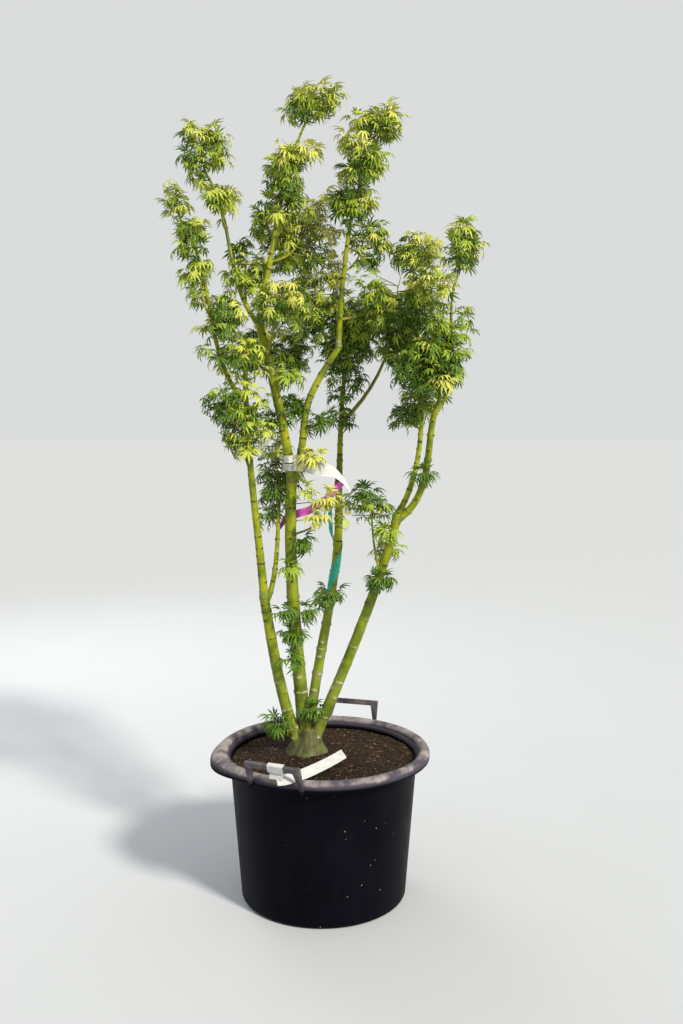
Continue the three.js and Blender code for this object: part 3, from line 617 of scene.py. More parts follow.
# The root crown: the old grey foot that the four stems share, swollen and buttressed where they spread,
# with rough plates of bark.
CROWN_PLACE = (-0.046, 0.022)
CROWN_FOOT = 0.372
CROWN_HEIGHT = 0.068
CROWN_RADIUS = 0.060
CROWN_TOP = 0.034
CROWN_STEMS = (-153, -12, 77, -85)
CROWN_DIP = 0.50
CROWN_HOLLOW = 0.76
CROWN_BUTTRESS = 0.27
CROWN_LUMPS = ((0.05, 45), (0.02, 130))
CROWN_DARK = (0.036, 0.036, 0.012)
CROWN_PALE = (0.125, 0.122, 0.034)


def old_bark(paint, place):
    plate = paint.grain(paint.stretched(place, (60, 60, 22)), 1.0, 5.0, 0.65)
    cloud = paint.grain(place, 22.0, 3.0)
    colour = plate.step(0.35, 0.7).mix(CROWN_DARK, CROWN_PALE)
    # On the root crown the olive patches are its own greener colour.
    colour = (cloud.step(0.45, 0.7) * 0.75).mix(colour, BARK_OLIVE_AND_PAINTED_SHADE)
    bump = plate.relief(0.7, 0.004)
    return paint.surface(colour, 0.75, bump)


crown_outline = [(CROWN_RADIUS + (CROWN_TOP - CROWN_RADIUS) * math.sin(i / 20 * math.pi / 2) ** 0.8,
                  CROWN_FOOT + CROWN_HEIGHT * i / 20) for i in range(21)]
crown_shape = turned([(0, CROWN_FOOT), *crown_outline, (0, CROWN_FOOT + CROWN_HEIGHT)], 72)
for vert in crown_shape.verts:
    bearing = math.atan2(vert.co.y, vert.co.x)
    lobe = max(math.cos((bearing - math.radians(stem)) / 2) ** 10 for stem in CROWN_STEMS)
    vert.co.z = CROWN_FOOT + (vert.co.z - CROWN_FOOT) * (CROWN_DIP + (1 - CROWN_DIP) * lobe)
    lump = CROWN_HOLLOW + CROWN_BUTTRESS * lobe
    lump += sum(depth * noise.noise(vert.co * fine) for depth, fine in CROWN_LUMPS)
    vert.co.x = CROWN_PLACE[0] + vert.co.x * lump
    vert.co.y = CROWN_PLACE[1] + vert.co.y * lump
crown = finished("root_crown_bark", crown_shape, material("old_bark", old_bark), math.pi)
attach(crown, "root")
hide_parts("root_crown")


# The ties: a white label strap looped round the fork of the main stem, a magenta marking ribbon knotted
# to the middle stem, a green tape wound down it, and a paper tag round the front handle. All are unprinted.
STRIP_THICKNESS = 0.0009
STRIP_ROWS = 18
SLOT_HALF = 0.05
UPRIGHT = Vector((0, 0, 1))


def route_point(route, share):
    """A point on a smooth curve through all the points of a route."""
    spot = share * (len(route) - 1)
    i = min(int(spot), len(route) - 2)
    t = spot - i
    p1, p2 = route[i], route[i + 1]
    p0 = route[i - 1] if i else p1 * 2 - p2
    p3 = route[i + 2] if i + 2 < len(route) else p2 * 2 - p1
    return 0.5 * (2 * p1 + (p2 - p0) * t + (2 * p0 - 5 * p1 + 4 * p2 - p3) * t ** 2
                  + (3 * p1 - p0 - 3 * p2 + p3) * t ** 3)


def strip_grid(steps):
    """A flat strip of unit size, to be bent to its route."""
    bm = bmesh.new()
    bm.loops.layers.uv.new("UVMap")
    bmesh.ops.create_grid(bm, x_segments=steps, y_segments=STRIP_ROWS, size=0.5, calc_uvs=True)
    return bm


def strip_shape(route, width, across, end_width, narrows_from, steps, ripple=0.0, slot=None, cut=0.0):
    """A strip of sheet along a route in millimetres, with its width along `across`.

    It may have a slot, and an end that is cut aslant.
    """
    route = [Vector(p) * MM for p in route]
    bm = strip_grid(steps)
    if slot:
        middles = {f: f.calc_center_median() for f in bm.faces}
        gone = [f for f, at in middles.items() if slot[0] < at.x + 0.5 < slot[1] and abs(at.y) < SLOT_HALF]
        bmesh.ops.delete(bm, geom=gone, context="FACES")
    for vert in bm.verts:
        share = vert.co.x + 0.5
        ahead, behind = route_point(route, min(share + 0.004, 1)), route_point(route, max(share - 0.004, 0))
        tangent = (ahead - behind).normalized()
        normal = across.cross(tangent).normalized()
        side = tangent.cross(normal)
        late = min(1.0, max(0.0, (share - narrows_from) / (1 - narrows_from)))
        late = late * late * (3 - 2 * late)
        wide = (width + (end_width - width) * late) * MM
        curl = ripple * MM * math.sin(share * 31 + vert.co.y * 4) * math.cos(vert.co.y * 3)
        place = route_point(route, share * (1 - cut * share ** 6 * (0.5 - vert.co.y)))
        vert.co = place + side * vert.co.y * wide + normal * curl
    bmesh.ops.solidify(bm, geom=bm.faces[:], thickness=STRIP_THICKNESS)
    bmesh.ops.recalc_face_normals(bm, faces=bm.faces)
    return bm


def film(colour, crease, roughness=0.42):
    """A recipe for thin plastic film, creased and a little dirty."""
    def recipe(paint, place):
        dirt = paint.grain(place, 60.0, 4.0)
        fold = paint.grain(paint.stretched(place, (90, 90, 420)), 1.0, 2.0)
        tone = (dirt.step(0.45, 0.75) * 0.5).mix(colour, tuple(c * 0.72 for c in colour))
        bump = (fold * 0.6 + dirt * 0.4).relief(crease, 0.0015)
        gloss = roughness + dirt * 0.15
        return paint.surface(tone, gloss, bump)
    return recipe


STRAP_ROUTE = [
    (-48, -9, 1137), (-46.6, 1, 1137), (-51.5, 10, 1137), (-63, 12.8, 1137), (-86, 5.4, 1137),
    (-97.5, -1, 1137), (-103.3, -12, 1137), (-99, -23, 1137), (-86, -27.6, 1137), (-66, -25, 1137),
    (-42, -28, 1134), (-25, -33, 1128), (11, -38, 1120), (33, -39, 1110), (55, -37, 1088), (70, -34, 1066),
]
strap_shape = strip_shape(STRAP_ROUTE, 38, UPRIGHT, 3, 0.72, 120, slot=(0.475, 0.57))
strap = finished("label_strap_film", strap_shape, material("white_film", film((0.72, 0.71, 0.70), 0.3)))
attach(strap, "root")
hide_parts("label_strap")

RIBBON_TURN = (235, 190, 145, 100, 55, 10, -35)
RIBBON_TAIL = [(38, 93, 1068), (18, 78, 1046), (-7, 58, 1028), (-37, 38, 1012), (-67, 24, 1004),
               (-93, 28, 992), (-118, 32, 962)]
knot = along(limbs["bough_middle_top"][0], 0.17) / MM
ribbon_loop = [knot + Vector((12 * math.cos(math.radians(d)), 12 * math.sin(math.radians(d)), 0))
               for d in RIBBON_TURN]
ribbon_shape = strip_shape(ribbon_loop + RIBBON_TAIL, 20, UPRIGHT, 9, 0.85, 120, 1.2)
ribbon = finished("ribbon_film", ribbon_shape, material("magenta_film", film((0.42, 0.055, 0.33), 0.4)))
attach(ribbon, "root")
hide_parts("ribbon")

# The tape hangs from the ribbon's knot and goes round the middle stem: level behind it, then steeply down
# across its front. Its width lies round the stem too.
TAPE_HIGH, TAPE_LOW = 0.85, 0.605
TAPE_FIRST, TAPE_LAST = 2.9, -3.2
TAPE_STEEPENING = 1.8
TAPE_WIDTH = 0.027
TAPE_OFF = 0.0022
TAPE_WRINKLE = 0.0004
tape_points, tape_foot, tape_end, tape_length = limbs["stem_middle"]
tape_shape = strip_grid(130)
for vert in tape_shape.verts:
    done = vert.co.x + 0.5
    share = TAPE_HIGH + (TAPE_LOW - TAPE_HIGH) * done ** TAPE_STEEPENING
    wave = TAPE_WRINKLE * math.sin(done * 37 + vert.co.y * 5) * math.sin(done * 23 - vert.co.y * 9)
    round_it = limb_radius(tape_foot, tape_end, tape_length, share) + TAPE_OFF + wave
    fall = (TAPE_HIGH - TAPE_LOW) * TAPE_STEEPENING * done ** (TAPE_STEEPENING - 1) * tape_length
    travel = (TAPE_FIRST - TAPE_LAST) * round_it
    reach = vert.co.y * TAPE_WIDTH / math.hypot(fall, travel)
    turn = TAPE_FIRST + (TAPE_LAST - TAPE_FIRST) * done - reach * fall / round_it
    vert.co = along(tape_points, share) + heading(tape_points, share) * reach * travel
    vert.co += Vector((round_it * math.cos(turn), round_it * math.sin(turn), 0))
bmesh.ops.solidify(tape_shape, geom=tape_shape.faces[:], thickness=STRIP_THICKNESS * 0.4)
bmesh.ops.recalc_face_normals(tape_shape, faces=tape_shape.faces)
green_film = material("green_film", film((0.014, 0.43, 0.285), 0.9, 0.3))
tape = finished("green_tape_film", tape_shape, green_film)
SHRED_ROUTE = [(22, 101, 1064), (17, 97, 1045), (18, 97, 1010), (20, 98, 965), (22.5, 103, 942),
               (26.5, 105.5, 926)]
shred_shape = strip_shape(SHRED_ROUTE, 15, Vector((0.7, -0.7, 0)), 3, 0.62, 120, 1.5)
shred = finished("green_tape_shred", shred_shape, green_film)
for piece in (tape, shred):
    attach(piece, "root")
    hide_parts("green_tape")

# Where the ties on the stems are, which leaves and twigs keep clear of, as some of the ties' points.
TIE_STRIDE = 23
stem_ties = (strap, ribbon, tape, shred)
tie_places = np.array([np.array(vert.co) for tie in stem_ties for vert in tie.data.vertices])[::TIE_STRIDE]

# The paper tag: a loop round the front handle's bar, a short fall in front of it, and a long tail laid in
# over the soil. The bar's underside, top and back are LOW, HIGH and DEEP in the handle's own frame.
LOW, HIGH, DEEP = 63, 78, 10
TAG_OFF = 1.5
TAG_LOOP = [(LOW - TAG_OFF, 1.5), (LOW - TAG_OFF, DEEP), (LOW, DEEP + TAG_OFF), (HIGH, DEEP + TAG_OFF),
            (HIGH + TAG_OFF, DEEP), (HIGH + TAG_OFF, 0), (HIGH, -TAG_OFF), (LOW + 8, -TAG_OFF)]
TAG_TAIL = [(13, -300, 403), (34, -284, 403.6), (52, -246, 404.1), (68, -190, 404.8), (81, -125, 405.4),
            (90, -66, 407)]
tag_frame = on_handle(HANDLE_BEARINGS["pot_handle_front"])
front = Matrix.Rotation(HANDLE_BEARINGS["pot_handle_front"], 3, "Z")
tag_route = [tag_frame @ (Vector((10, up, deep)) * MM) / MM for up, deep in TAG_LOOP]
x, y, z = front.inverted() @ ((tag_route[0] + tag_route[1]) / 2)
fall_route = [front @ Vector(p) for p in ((x, y, z), (x, y - 1.4, z - 5), (x, y - 3, z - 18))]
tail_route = [front @ Vector(p) for p in TAG_TAIL]
across_bar = tag_frame.to_3x3() @ Vector((1, 0, 0))
across_tail = front @ Vector((-0.86, 0.2, 0.45))
tag_paper = material("tag_paper", film((0.50, 0.50, 0.51), 0.8, 0.6))
tag = finished("handle_tag_loop", strip_shape(tag_route, 41, across_bar, 41, 0.6, 70, 0.25), tag_paper)
fall = finished("handle_tag_fall", strip_shape(fall_route, 35, across_bar, 35, 0.6, 30), tag_paper)
tail_shape = strip_shape(tail_route, 30, across_tail, 27, 0.3, 60, 0.9, cut=0.05)
tail = finished("handle_tag_tail", tail_shape, tag_paper)
for piece in (tag, fall, tail):
    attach(piece, "root")
    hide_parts("handle_tag")


# The foliage: tufts of small deep-cut leaves, each with seven narrow drooping fingers, on twigs that
# branch from a stem in each mass. Leaves and twigs of each tint are joined into one piece; the leaf tints,
# from gold to deep, are lit and shaded copies of one leaf colour, as painted light and painted shade. A mass
# has the limb that carries it, the share of the limb's length, its middle, its half sizes, and its tone, the
# painted light and shade of its leaves.
MASSES = [
    ("left_tower_outer", "bough_left_tower", 1, (-348, -130, 1760), (44, 55, 55), 0.15),
    ("left_tower_inner", "bough_top_left", 0.62, (-248, -105, 1771), (43, 55, 51), 0.15),
    ("left_tower_middle", "bough_left_tower", 0.9, (-306, -125, 1685), (52, 58, 64), 0.15),
    ("left_tower_low", "bough_left_tower", 0.52, (-292, -152, 1575), (39, 55, 81), 0.1),
    ("left_shoulder", "bough_left_outer", 1, (-232, -130, 1487), (57, 65, 64), 0.0),
    ("top_left_crest", "bough_top_left", 1, (-307, 42, 1912), (57, 68, 84), 0.2),
    ("top_left_fan", "bough_top_left", 0.35, (-213, 70, 1685), (39, 55, 38), 0.0),
    ("top_left_base", "bough_top_left", 0.15, (-196, 15, 1604), (67, 59, 79), 0.12),
    ("leader_crest", "leader", 1, (-25, 0, 2031), (66, 78, 55), 0.2),
    ("leader_upper", "leader", 0.72, (-86, -24, 1852), (61, 81, 93), 0.2),
    ("leader_low", "leader", 0.42, (-145, 26, 1748), (37, 55, 61), 0.1),
    ("centre_upper", "leader", 0.3, (-52, 95, 1706), (100, 84, 122), 0.22),
    ("centre_middle", "bough_middle_top", 0.8, (-22, 130, 1566), (102, 93, 102), 0.18),
    ("centre_front", "bough_main_left", 0.8, (-111, -105, 1521), (78, 82, 70), 0.15),
    ("right_tower_crest", "bough_right_tower", 1, (134, 22, 1975), (65, 76, 54), 0.1),
    ("right_tower_upper", "bough_right_tower", 0.88, (97, 5, 1890), (66, 78, 87), 0.15),
    ("right_tower_neck", "bough_right_tower", 0.65, (71, 44, 1797), (75, 82, 55), 0.15),
    ("right_tower_side", "bough_right_tower", 0.4, (105, 55, 1681), (54, 55, 102), 0.05),
    ("right_tower_low", "bough_right_tower", 0.15, (153, 20, 1531), (67, 71, 85), 0.0),
    ("right_fan_upper", "bough_right_inner", 1, (231, 52, 1669), (76, 71, 67), 0.15),
    ("right_fan_outer", "bough_right_side", 1, (338, -75, 1653), (52, 58, 70), 0.1),
    ("right_fan_middle", "bough_right_crown", 1, (263, -100, 1564), (68, 72, 70), 0.15),
    ("right_fan_inner", "bough_right_inner", 0.68, (192, 72, 1440), (73, 82, 77), 0.05),
    ("right_dark_crown", "bough_right_crown", 0.35, (264, -75, 1370), (103, 95, 83), -0.35),
    ("right_low", "bough_right_inner", 0.4, (210, 0, 1251), (52, 55, 49), -0.35),
    ("middle_crown", "bough_middle_top", 1, (92, 178, 1485), (84, 95, 108), -0.25),
    ("middle_tuft", "bough_middle_top", 0.38, (47, 124, 1245), (50, 55, 44), -0.6),
    ("centre_low_spray", "stem_main", 0.8, (8, -45, 1004), (74, 60, 54), 0.4),
    ("left_mid_outer", "bough_left_outer", 0.66, (-240, -146, 1279), (58, 64, 64), -0.45),
    ("left_mid_inner", "bough_left_outer", 0.5, (-204, -66, 1222), (60, 64, 78), -0.6),
    ("left_shaded", "bough_left_inner", 0.85, (-122, 70, 1090), (53, 63, 147), -0.5),
    ("right_stem_tuft", "stem_right", 0.74, (122, -50, 1018), (64, 58, 52), -0.45),
    ("back_left", "bough_main_left", 0.45, (-150, 225, 1440), (110, 93, 102), -0.05),
    ("back_right", "bough_middle_top", 0.5, (205, 210, 1560), (101, 91, 102), -0.1),
]
TWIG_SHARE = 0.0012
FEWEST_TWIGS = 7
FIRST_TWIG = 0.3
LONGEST_TWIG = 0.065
TUFT_DEPTH = 0.036
TWIG_REACH = (0.46, 1.0)
LOWEST_RISE = -0.95
HIGHEST_RISE = 1.25
GOLDEN_ANGLE = 2.399963
STEM_STEPS = 10
STEM_BEND, STEM_RISE = 0.45, 0.5
NODE_GAP = 0.017
TWIGLET_CHANCE = 0.6
UNDERSIDE_SHADE = 0.25
TWIGLET_LENGTH = (0.014, 0.027)
STEM_TIP = 0.0036
STEM_SWELL = 0.022
TWIG_RADII = (0.00150, 0.00095)
TWIGLET_RADII = (0.00085, 0.00055)
LEAF_LENGTH = (0.0205, 0.0305)
LEAF_KINDS = 12
LEAF_MARGIN = 1.0
MARGIN_LUMPS, MARGIN_FINENESS = 0.40, 24
LEAF_STALK = 0.014
FINGER_WIDTHS = ((0.30, 0.080), (0.64, 0.092))
FINGER_FOLD = 0.035
LEAF_SWAY = 0.35
FINGERS = [(0, 1.0), (0.56, 0.93), (-0.56, 0.93), (1.12, 0.74), (-1.12, 0.74), (1.75, 0.42), (-1.75, 0.42)]
SPRAY_LIGHT = Vector((0.45, -0.55, 0.70))
SIDE_LIGHT, TOP_LIGHT, EDGE_LIGHT = 0.40, 0.26, 0.4
EDGE_START = 0.75
TINT_DRAW = (0.06, 0.28)
# Leaf tints from sunlit to shaded, as painted light and painted shade: each colour, and the lowest light it
# takes.
LEAF_TINTS = {
    "leaves_gold": ((0.525, 0.535, 0.105), 0.46),
    "leaves_lime": ((0.415, 0.470, 0.062), 0.08),
    "leaves_green": ((0.245, 0.340, 0.028), -0.24),
    "leaves_deep": ((0.076, 0.150, 0.013), -9.0),
}


def draws(seed):
    """The same run of numbers from 0 to 1 as in the solids."""
    state = seed

    def draw():
        nonlocal state
        state = (state * 1664525 + 1013904223) % 2 ** 32
        return state / 2 ** 32
    return draw


def leaf_kind(seed):
    """A leaf in unit size: a thin stalk along +Y, and folded fingers that spread from its end and droop."""
    chance = random.Random(seed)
    stalk = chance.uniform(0.40, 0.70)
    pitch = chance.uniform(0.05, 0.85)
    droop = chance.uniform(0.30, 0.75)
    points = [(LEAF_STALK * math.cos(a), 0, LEAF_STALK * math.sin(a)) for a in (0.5, 2.6, 4.7)]
    points += [(x, stalk, z - 0.02) for x, _, z in points]
    faces = [(0, 1, 4), (0, 4, 3), (1, 2, 5), (1, 5, 4), (2, 0, 3), (2, 3, 5)]
    root = len(points)
    points.append((0, stalk, 0))
    tilt = Matrix.Rotation(-pitch, 3, "X")
    for angle, reach in FINGERS:
        angle += chance.gauss(0, 0.08)
        reach *= chance.uniform(0.86, 1.1)
        out = Vector((math.sin(angle), math.cos(angle), 0))
        side = Vector((math.cos(angle), -math.sin(angle), 0))
        first = len(points)
        for share, half in FINGER_WIDTHS:
            middle = out * reach * share - Vector((0, 0, droop * (reach * share) ** 2))
            for across in (-1, 0, 1):
                fold = Vector((0, 0, FINGER_FOLD * abs(across)))
                local = middle + side * across * half * reach ** 0.5 + fold
                points.append(tuple(tilt @ local + Vector((0, stalk, 0))))
        tip = out * reach * 0.97 - Vector((0, 0, droop * reach ** 2 * 1.15))
        points.append(tuple(tilt @ tip + Vector((0, stalk, 0))))
        a, k, b, c, m, d, t = range(first, first + 7)
        faces += [(root, a, k), (root, k, b), (a, c, m), (a, m, k), (k, m, d), (k, d, b), (c, t, m),
                  (m, t, d)]
    return np.array(points), np.array(faces)


def tapered(rows, sides):
    """Straight tapering rods, each from one place to another with a radius at each end."""
    starts, ends, first, last = (np.array(column, float) for column in zip(*rows))
    line = ends - starts
    line /= np.linalg.norm(line, axis=1, keepdims=True)
    side = np.cross(line, (0.31, 0.95, 0.05))
    side /= np.linalg.norm(side, axis=1, keepdims=True)
    other = np.cross(line, side)
    turns = np.arange(sides) * 2 * math.pi / sides
    ring = side[:, None] * np.cos(turns)[None, :, None] + other[:, None] * np.sin(turns)[None, :, None]
    points = np.concatenate([starts[:, None] + ring * first[:, None, None],
                             ends[:, None] + ring * last[:, None, None]], axis=1)
    faces = [(i, (i + 1) % sides, sides + i) for i in range(sides)]
    faces += [((i + 1) % sides, sides + (i + 1) % sides, sides + i) for i in range(sides)]
    faces += [(sides, sides + i, sides + i + 1) for i in range(1, sides - 1)]
    numbers = np.array(faces)[None] + (np.arange(len(rows)) * 2 * sides)[:, None, None]
    return points.reshape(-1, 3), numbers.reshape(-1, 3)


centres = np.array([row[3] for row in MASSES]) * MM
halves = np.array([row[4] for row in MASSES]) * MM


def is_own(index, point, margin=1.0):
    """Whether a point is in a mass's space, and no other mass claims it more."""
    depths = np.sqrt((((np.array(point) - centres) / halves) ** 2).sum(1))
    return depths[index] <= margin and depths.argmin() == index


WOOD_STEPS = 80
WOOD_CLEARANCE = 0.002
TIE_SHADE = np.array((0.020, 0.019))
TIE_CLEARANCE = 0.012
wood = [(along(points, i / WOOD_STEPS), limb_radius(foot, end, length, i / WOOD_STEPS))
        for points, foot, end, length in limbs.values() for i in range(WOOD_STEPS + 1)]
wood_places, wood_radii = (np.array(column) for column in zip(*wood))

# The sky shows through the crown here, seen from the front: the middle (x, z) of each opening and half its
# width and height, all on one upright plane.
OPENING_PLANE = -0.05
OPENINGS = np.array([
    (-259, 1676, 31, 34), (-209, 1721, 34, 29), (179, 1585, 30, 23), (344, 1553, 32, 20),
    (-318, 1497, 27, 19), (-249, 1842, 25, 22), (-269, 1576, 19, 24), (-378, 1701, 18, 28),
    (-293, 1755, 26, 14), (-40, 1843, 13, 20), (53, 1889, 16, 15), (-155, 1785, 13, 18),
    (12, 1568, 15, 15), (178, 1689, 12, 15), (335, 1504, 15, 12), (-177, 1470, 13, 11),
    (306, 1690, 11, 12), (-300, 1647, 13, 9), (158, 1606, 14, 9), (-340, 1565, 9, 13),
]) * MM


def is_clear(point, tied=True):
    """Whether a point is outside the wood and the openings and, if tied, not in front of a tie."""
    point = np.array(point)
    if (np.linalg.norm(wood_places - point, axis=1) < wood_radii + WOOD_CLEARANCE).any():
        return False
    nearer = (OPENING_PLANE - CAMERA_PLACE[1]) / (point[1] - CAMERA_PLACE[1])
    seen = [CAMERA_PLACE[i] + (point[i] - CAMERA_PLACE[i]) * nearer for i in (0, 2)]
    if ((((seen - OPENINGS[:, :2]) / OPENINGS[:, 2:]) ** 2).sum(1) < 1).any():
        return False
    off = np.abs(tie_places - point)[:, (0, 2)] < TIE_SHADE
    return not tied or not (off.all(axis=1) & (point[1] < tie_places[:, 1] + TIE_CLEARANCE)).any()


def has_room(index, tip):
    """Whether a leafy tip is clear and, if it belongs to a mass, inside that mass's lumpy outline."""
    margin = LEAF_MARGIN + MARGIN_LUMPS * noise.noise(Vector(tip) * MARGIN_FINENESS)
    return (index is None or is_own(index, tip, margin)) and is_clear(tip, index is not None)


stem_rods = []
twig_rods = []
twiglet_rods = []
leaves = {name: [[] for _ in range(LEAF_KINDS)] for name in LEAF_TINTS}
dice = random.Random(5)


def spray_tint(outward, tone):
    """The tint of a spray, as painted light and shade: brighter at the top and edge of a mass, and on the
    side that the sky and sun reach.
    """
    light = SIDE_LIGHT * outward.dot(SPRAY_LIGHT) + TOP_LIGHT * outward.z + tone + dice.gauss(*TINT_DRAW)
    light += EDGE_LIGHT * (min(outward.length, 1.0) - EDGE_START)
    return next(name for name, (_, level) in LEAF_TINTS.items() if light > level)


def add_leaf(root, aim, tint, index):
    """One leaf, stalk first, with its upper side up. It is left out where it would leave its mass."""
    aim = aim.normalized()
    length = dice.uniform(*LEAF_LENGTH)
    up = Vector((0, 0, 1)) - aim * aim.z
    if up.length < 0.2:
        level = Vector((dice.uniform(-1, 1), dice.uniform(-1, 1), 0))
        up = level - aim * level.dot(aim)
    up.normalize()
    up.rotate(Matrix.Rotation(dice.gauss(0, LEAF_SWAY), 3, aim))
    tip = root + (aim * 1.2 - up * 0.4) * length
    if not has_room(index, tip):
        return
    frame_axes = [tuple(axis * length) for axis in (aim.cross(up), aim, up)]
    leaves[tint][dice.randrange(LEAF_KINDS)].append([tuple(root), *frame_axes])


def add_twiglet(root, aim, tint, index=None):
    """A twiglet with a pair of leaves half-way, a crossed pair near its end, and one leaf at its tip."""
    aim = aim.normalized()
    tip = root + aim * dice.uniform(*TWIGLET_LENGTH)
    if not has_room(index, tip):
        return
    twiglet_rods.append((root, tip, *TWIGLET_RADII))
    across = aim.cross(Vector((0, 0, 1)) if abs(aim.z) < 0.9 else Vector((0, 1, 0))).normalized()
    for share, pair in ((0.5, across), (0.94, aim.cross(across))):
        for way in (-1, 1):
            add_leaf(root.lerp(tip, share), pair * way + aim * dice.uniform(0.2, 0.7) + Vector((0, 0, 0.2)),
                     tint, index)
    add_leaf(tip, aim + Vector((0, 0, dice.uniform(-0.2, 0.3))), tint, index)


def add_twig(root, tip, middle, size, tone, index=None):
    """A twig with crossed pairs of leaves and twiglets at its nodes, and a twiglet at its tip."""
    twig_rods.append((root, tip, *TWIG_RADII))
    line = tip - root
    length = line.length
    line.normalize()
    across = line.cross(Vector((0.2, 0.1, 1))).normalized()
    back = 0.0
    while back < min(length * 0.8, TUFT_DEPTH):
        where = tip - line * back
        outward = Vector(((where - middle)[i] / size[i] for i in range(3)))
        tint = spray_tint(outward, tone)
        if back == 0:
            add_twiglet(where, line + Vector((0, 0, 0.3)), tint, index)
        for way in (-1, 1):
            aim = across * way + line * dice.uniform(0.2, 0.9) + Vector((0, 0, dice.uniform(0.0, 0.7)))
            if aim.z < 0.2:
                tint = spray_tint(outward, tone - UNDERSIDE_SHADE)
            if dice.random() < TWIGLET_CHANCE:
                add_twiglet(where, aim, tint, index)
            else:
                add_leaf(where, aim, tint, index)
        across = line.cross(across)
        back += NODE_GAP * dice.uniform(0.8, 1.2)


for index, (name, limb, share, centre, half, tone) in enumerate(MASSES):
    draw = draws(1000 + 37 * index)
    centre = Vector(centre) * MM
    a, b, c = (h * MM for h in half)
    foot = along(limbs[limb][0], share)
    bend = Vector((centre.x, centre.y, foot.z + (centre.z - foot.z) * STEM_BEND))
    stem = [foot, bend, centre + Vector((0, 0, STEM_RISE * c))]
    stem_foot = STEM_TIP + STEM_SWELL * (stem[2] - foot).length
    for i in range(STEM_STEPS):
        thick = [(stem_foot + (STEM_TIP - stem_foot) * j / STEM_STEPS) / 2 for j in (i, i + 1)]
        overlap = 0.01 * (i + 1 < STEM_STEPS)
        stem_rods.append((along(stem, i / STEM_STEPS), along(stem, (i + 1) / STEM_STEPS + overlap), *thick))
    turn = draw() * 2 * math.pi
    count = max(FEWEST_TWIGS, round((a * b + b * c + a * c) / TWIG_SHARE))
    for k in range(count):
        order = (k + 0.5) / count
        root = along(stem, FIRST_TWIG + (1 - FIRST_TWIG) * order)
        bearing = turn + k * GOLDEN_ANGLE + 0.5 * (draw() - 0.5)
        rise = LOWEST_RISE + (HIGHEST_RISE - LOWEST_RISE) * order + 0.5 * (draw() - 0.5)
        reach = TWIG_REACH[0] + (TWIG_REACH[1] - TWIG_REACH[0]) * draw()
        out = Vector((a * math.cos(rise) * math.cos(bearing), b * math.cos(rise) * math.sin(bearing),
                      c * math.sin(rise)))
        tip = centre + out * reach
        if (tip - root).length > LONGEST_TWIG:
            root = min((along(stem, i / 30) for i in range(31)), key=lambda p: (p - tip).length)
        if is_own(index, tip) and is_clear(tip):
            add_twig(root, tip, centre, (a, b, c), tone, index)

# Some long twigs stand out of their masses, with a spray at the end: the (x, z) of each spray's place.
LONG_TWIGS = {
    "leader_crest": [(19, 2056), (18, 2038), (-62, 2006)],
    "leader_upper": [(-29, 1900)],
    "top_left_crest": [(-330, 1966), (-284, 1958), (-265, 1940), (-275, 1900), (-333, 1905)],
    "right_tower_crest": [(160, 2002), (170, 1988), (98, 1984)],
    "right_tower_upper": [(64, 1940), (128, 1897)],
    "right_tower_side": [(140, 1719), (144, 1690)],
    "right_tower_low": [(98, 1588)],
    "right_fan_outer": [(336, 1703), (352, 1698), (356, 1658)],
    "centre_upper": [(-12, 1790), (-150, 1721), (-132, 1650)],
    "centre_middle": [(38, 1655), (-12, 1482), (24, 1498)],
    "back_left": [(-58, 1490), (-44, 1442), (-66, 1398)],
    "middle_crown": [(28, 1442), (22, 1395)],
}
LONG_TWIG_END = 0.9
LONG_TWIG_ROOT = 0.2
LONG_TWIG_SHADE = 0.15
masses = {row[0]: (Vector(row[3]) * MM, [h * MM for h in row[4]], row[5]) for row in MASSES}
for name, places in LONG_TWIGS.items():
    centre, half, tone = masses[name]
    for x, z in places:
        tip = centre.lerp(Vector((x * MM, centre.y, z * MM)), LONG_TWIG_END)
        add_twig(centre.lerp(tip, LONG_TWIG_ROOT), tip, centre, half, tone - LONG_TWIG_SHADE)

# The boughs between the masses carry short side twigs at their nodes, which close up the towers: bough,
# the stretch that is in leaf, the reach of the twigs in metres, and the tone of their leaves, which is
# painted light and shade.
SIDE_TWIGS = [
    ("leader", 0.48, 0.84, 0.026, 0.05), ("bough_top_left", 0.50, 0.98, 0.026, 0.05),
    ("bough_left_tower", 0.25, 0.98, 0.026, 0.05), ("bough_left_outer", 0.55, 0.98, 0.026, 0.0),
    ("bough_right_tower", 0.66, 0.98, 0.036, 0.0), ("bough_right_inner", 0.45, 0.98, 0.026, -0.1),
    ("bough_right_side", 0.35, 0.98, 0.026, 0.0), ("bough_right_crown", 0.20, 0.98, 0.026, -0.2),
    ("bough_middle_top", 0.60, 0.98, 0.026, -0.2), ("bough_left_inner", 0.55, 0.98, 0.026, -0.3),
]
SIDE_GAP = 0.036
SIDE_SIZE = (0.08, 0.08, 0.08)
for limb, low, high, reach, tone in SIDE_TWIGS:
    points, foot, end, length = limbs[limb]
    here = low * length
    turn = 0.0
    while here < high * length:
        share = here / length
        middle = along(points, share)
        line = heading(points, share)
        across = line.cross(Vector((math.cos(turn), math.sin(turn), 0))).normalized()
        for way in (-1, 1):
            out = (across * way + line * 0.3 + Vector((0, 0, 0.35))).normalized()
            root = middle + out * limb_radius(foot, end, length, share) * 0.8
            tip = middle + out * (reach * dice.uniform(0.6, 1.25))
            if is_clear(tip):
                add_twig(root, tip, middle, SIDE_SIZE, tone)
        turn += math.pi / 2 + dice.gauss(0, 0.3)
        here += SIDE_GAP * dice.uniform(0.75, 1.25)
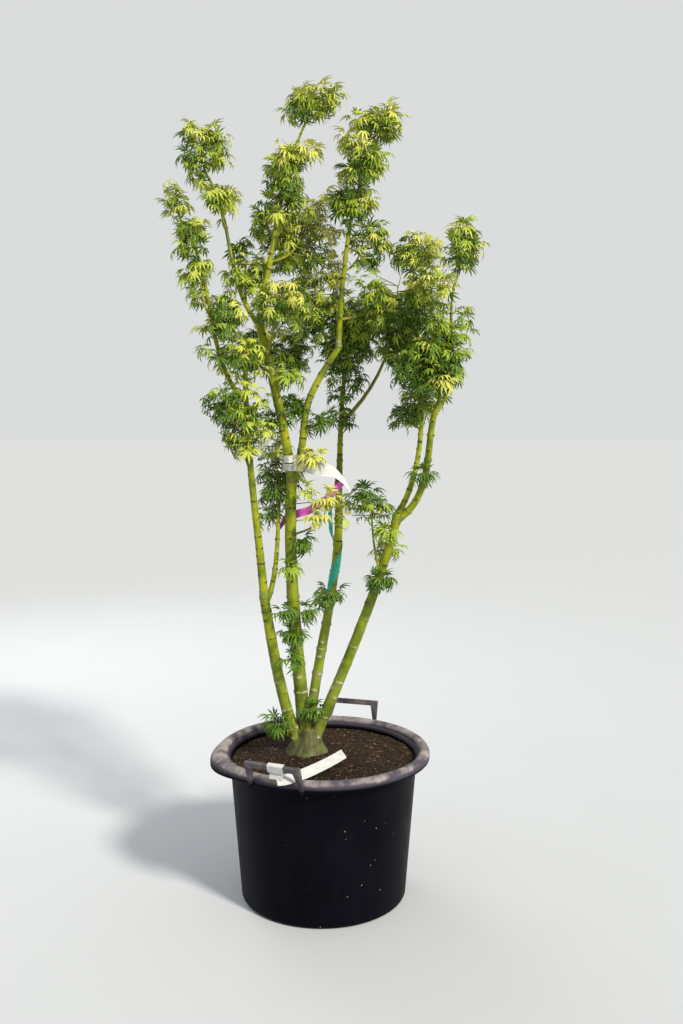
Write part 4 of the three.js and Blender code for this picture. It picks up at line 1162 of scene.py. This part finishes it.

# Small sprigs on the stems, where buds broke from old wood: stem, share of its length, bearing in degrees,
# reach and rise of its twig, twiglets, and tint, which paints its light and shade, from sunlit gold to
# shaded deep.
SPRIG_DEPTH = 0.024
SPRIG_FAN = 0.55
SPRIGS = [
    ("stem_main", 0.975, -33, 66, 76, 8, "gold"), ("stem_main", 0.93, -25, 38, 20, 3, "lime"),
    ("stem_main", 0.915, -8, 98, 10, 6, "gold"), ("stem_main", 0.85, -22, 58, 10, 4, "gold"),
    ("stem_middle", 1, -38, 84, 38, 9, "deep"), ("stem_main", 0.78, -45, 38, -4, 6, "deep"),
    ("stem_middle", 0.62, -110, 36, -10, 8, "deep"), ("stem_right", 0.7, -80, 32, 8, 8, "deep"),
    ("stem_right", 0.9, -120, 28, 10, 5, "green"), ("stem_main", 0.42, -110, 26, 4, 5, "deep"),
    ("stem_main", 0.5, -35, 32, 6, 4, "deep"), ("stem_left", 0.14, -155, 42, 2, 7, "deep"),
    ("stem_main", 0.13, -40, 34, 6, 6, "deep"), ("stem_left", 0.56, -20, 28, 8, 3, "deep"),
    ("stem_left", 0.86, -20, 28, 10, 3, "deep"), ("bough_right_outer", 0.4, -100, 30, 10, 4, "deep"),
    ("bough_left_inner", 0.3, -10, 30, 10, 4, "green"), ("stem_right", 0.8, 80, 40, 16, 6, "green"),
    ("bough_main_left", 0.4, 30, 34, 14, 6, "deep"), ("bough_main_left", 0.6, 25, 40, 18, 7, "green"),
    ("bough_main_left", 0.33, 150, 42, 16, 7, "deep"), ("bough_main_right", 0.55, 165, 36, 18, 6, "deep"),
    ("bough_main_right", 0.36, 20, 34, 14, 6, "deep"),
]
for limb, share, bearing, reach, rise, count, tint in SPRIGS:
    bearing = math.radians(bearing)
    out = Vector((math.cos(bearing) * reach, math.sin(bearing) * reach, rise)) * MM
    root = along(limbs[limb][0], share)
    twig_rods.append((root, root + out, *TWIG_RADII))
    out_way = out.normalized()
    for k in range(count):
        aim = out_way.copy()
        aim.rotate(Matrix.Rotation((k - (count - 1) / 2) * SPRIG_FAN, 3, "Z"))
        aim.z += dice.uniform(-0.15, 0.35)
        where = root + out - out_way * SPRIG_DEPTH * dice.random() * count / 6
        add_twiglet(where, aim, "leaves_" + tint)

leaf_kinds = [leaf_kind(100 + i) for i in range(LEAF_KINDS)]
mass_nodes = [row[0] for row in MASSES]
for tint, (colour, _) in LEAF_TINTS.items():
    points, faces, count = [], [], 0
    for (shape, corners), frames in zip(leaf_kinds, leaves[tint]):
        if frames:
            more, numbers = copies(shape, corners, frames)
            points.append(more)
            faces.append(numbers + count)
            count += len(more)
    leaf_finish = material(tint, plain(colour, 0.45))
    foliage = joined(tint, np.concatenate(points), np.concatenate(faces), leaf_finish)
    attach(foliage, "root")
    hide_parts(*mass_nodes)

TWIGGERY = {"mass_stems": (stem_rods, 7, (0.235, 0.235, 0.030)),
            "twigs": (twig_rods, 5, (0.20, 0.20, 0.030)), "twiglets": (twiglet_rods, 3, (0.21, 0.23, 0.035))}
for name, (rods, sides, colour) in TWIGGERY.items():
    twiggery = joined(name, *tapered(rods, sides), material(name, plain(colour, 0.5)), smooth=sides > 3)
    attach(twiggery, "root")
    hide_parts(*mass_nodes)
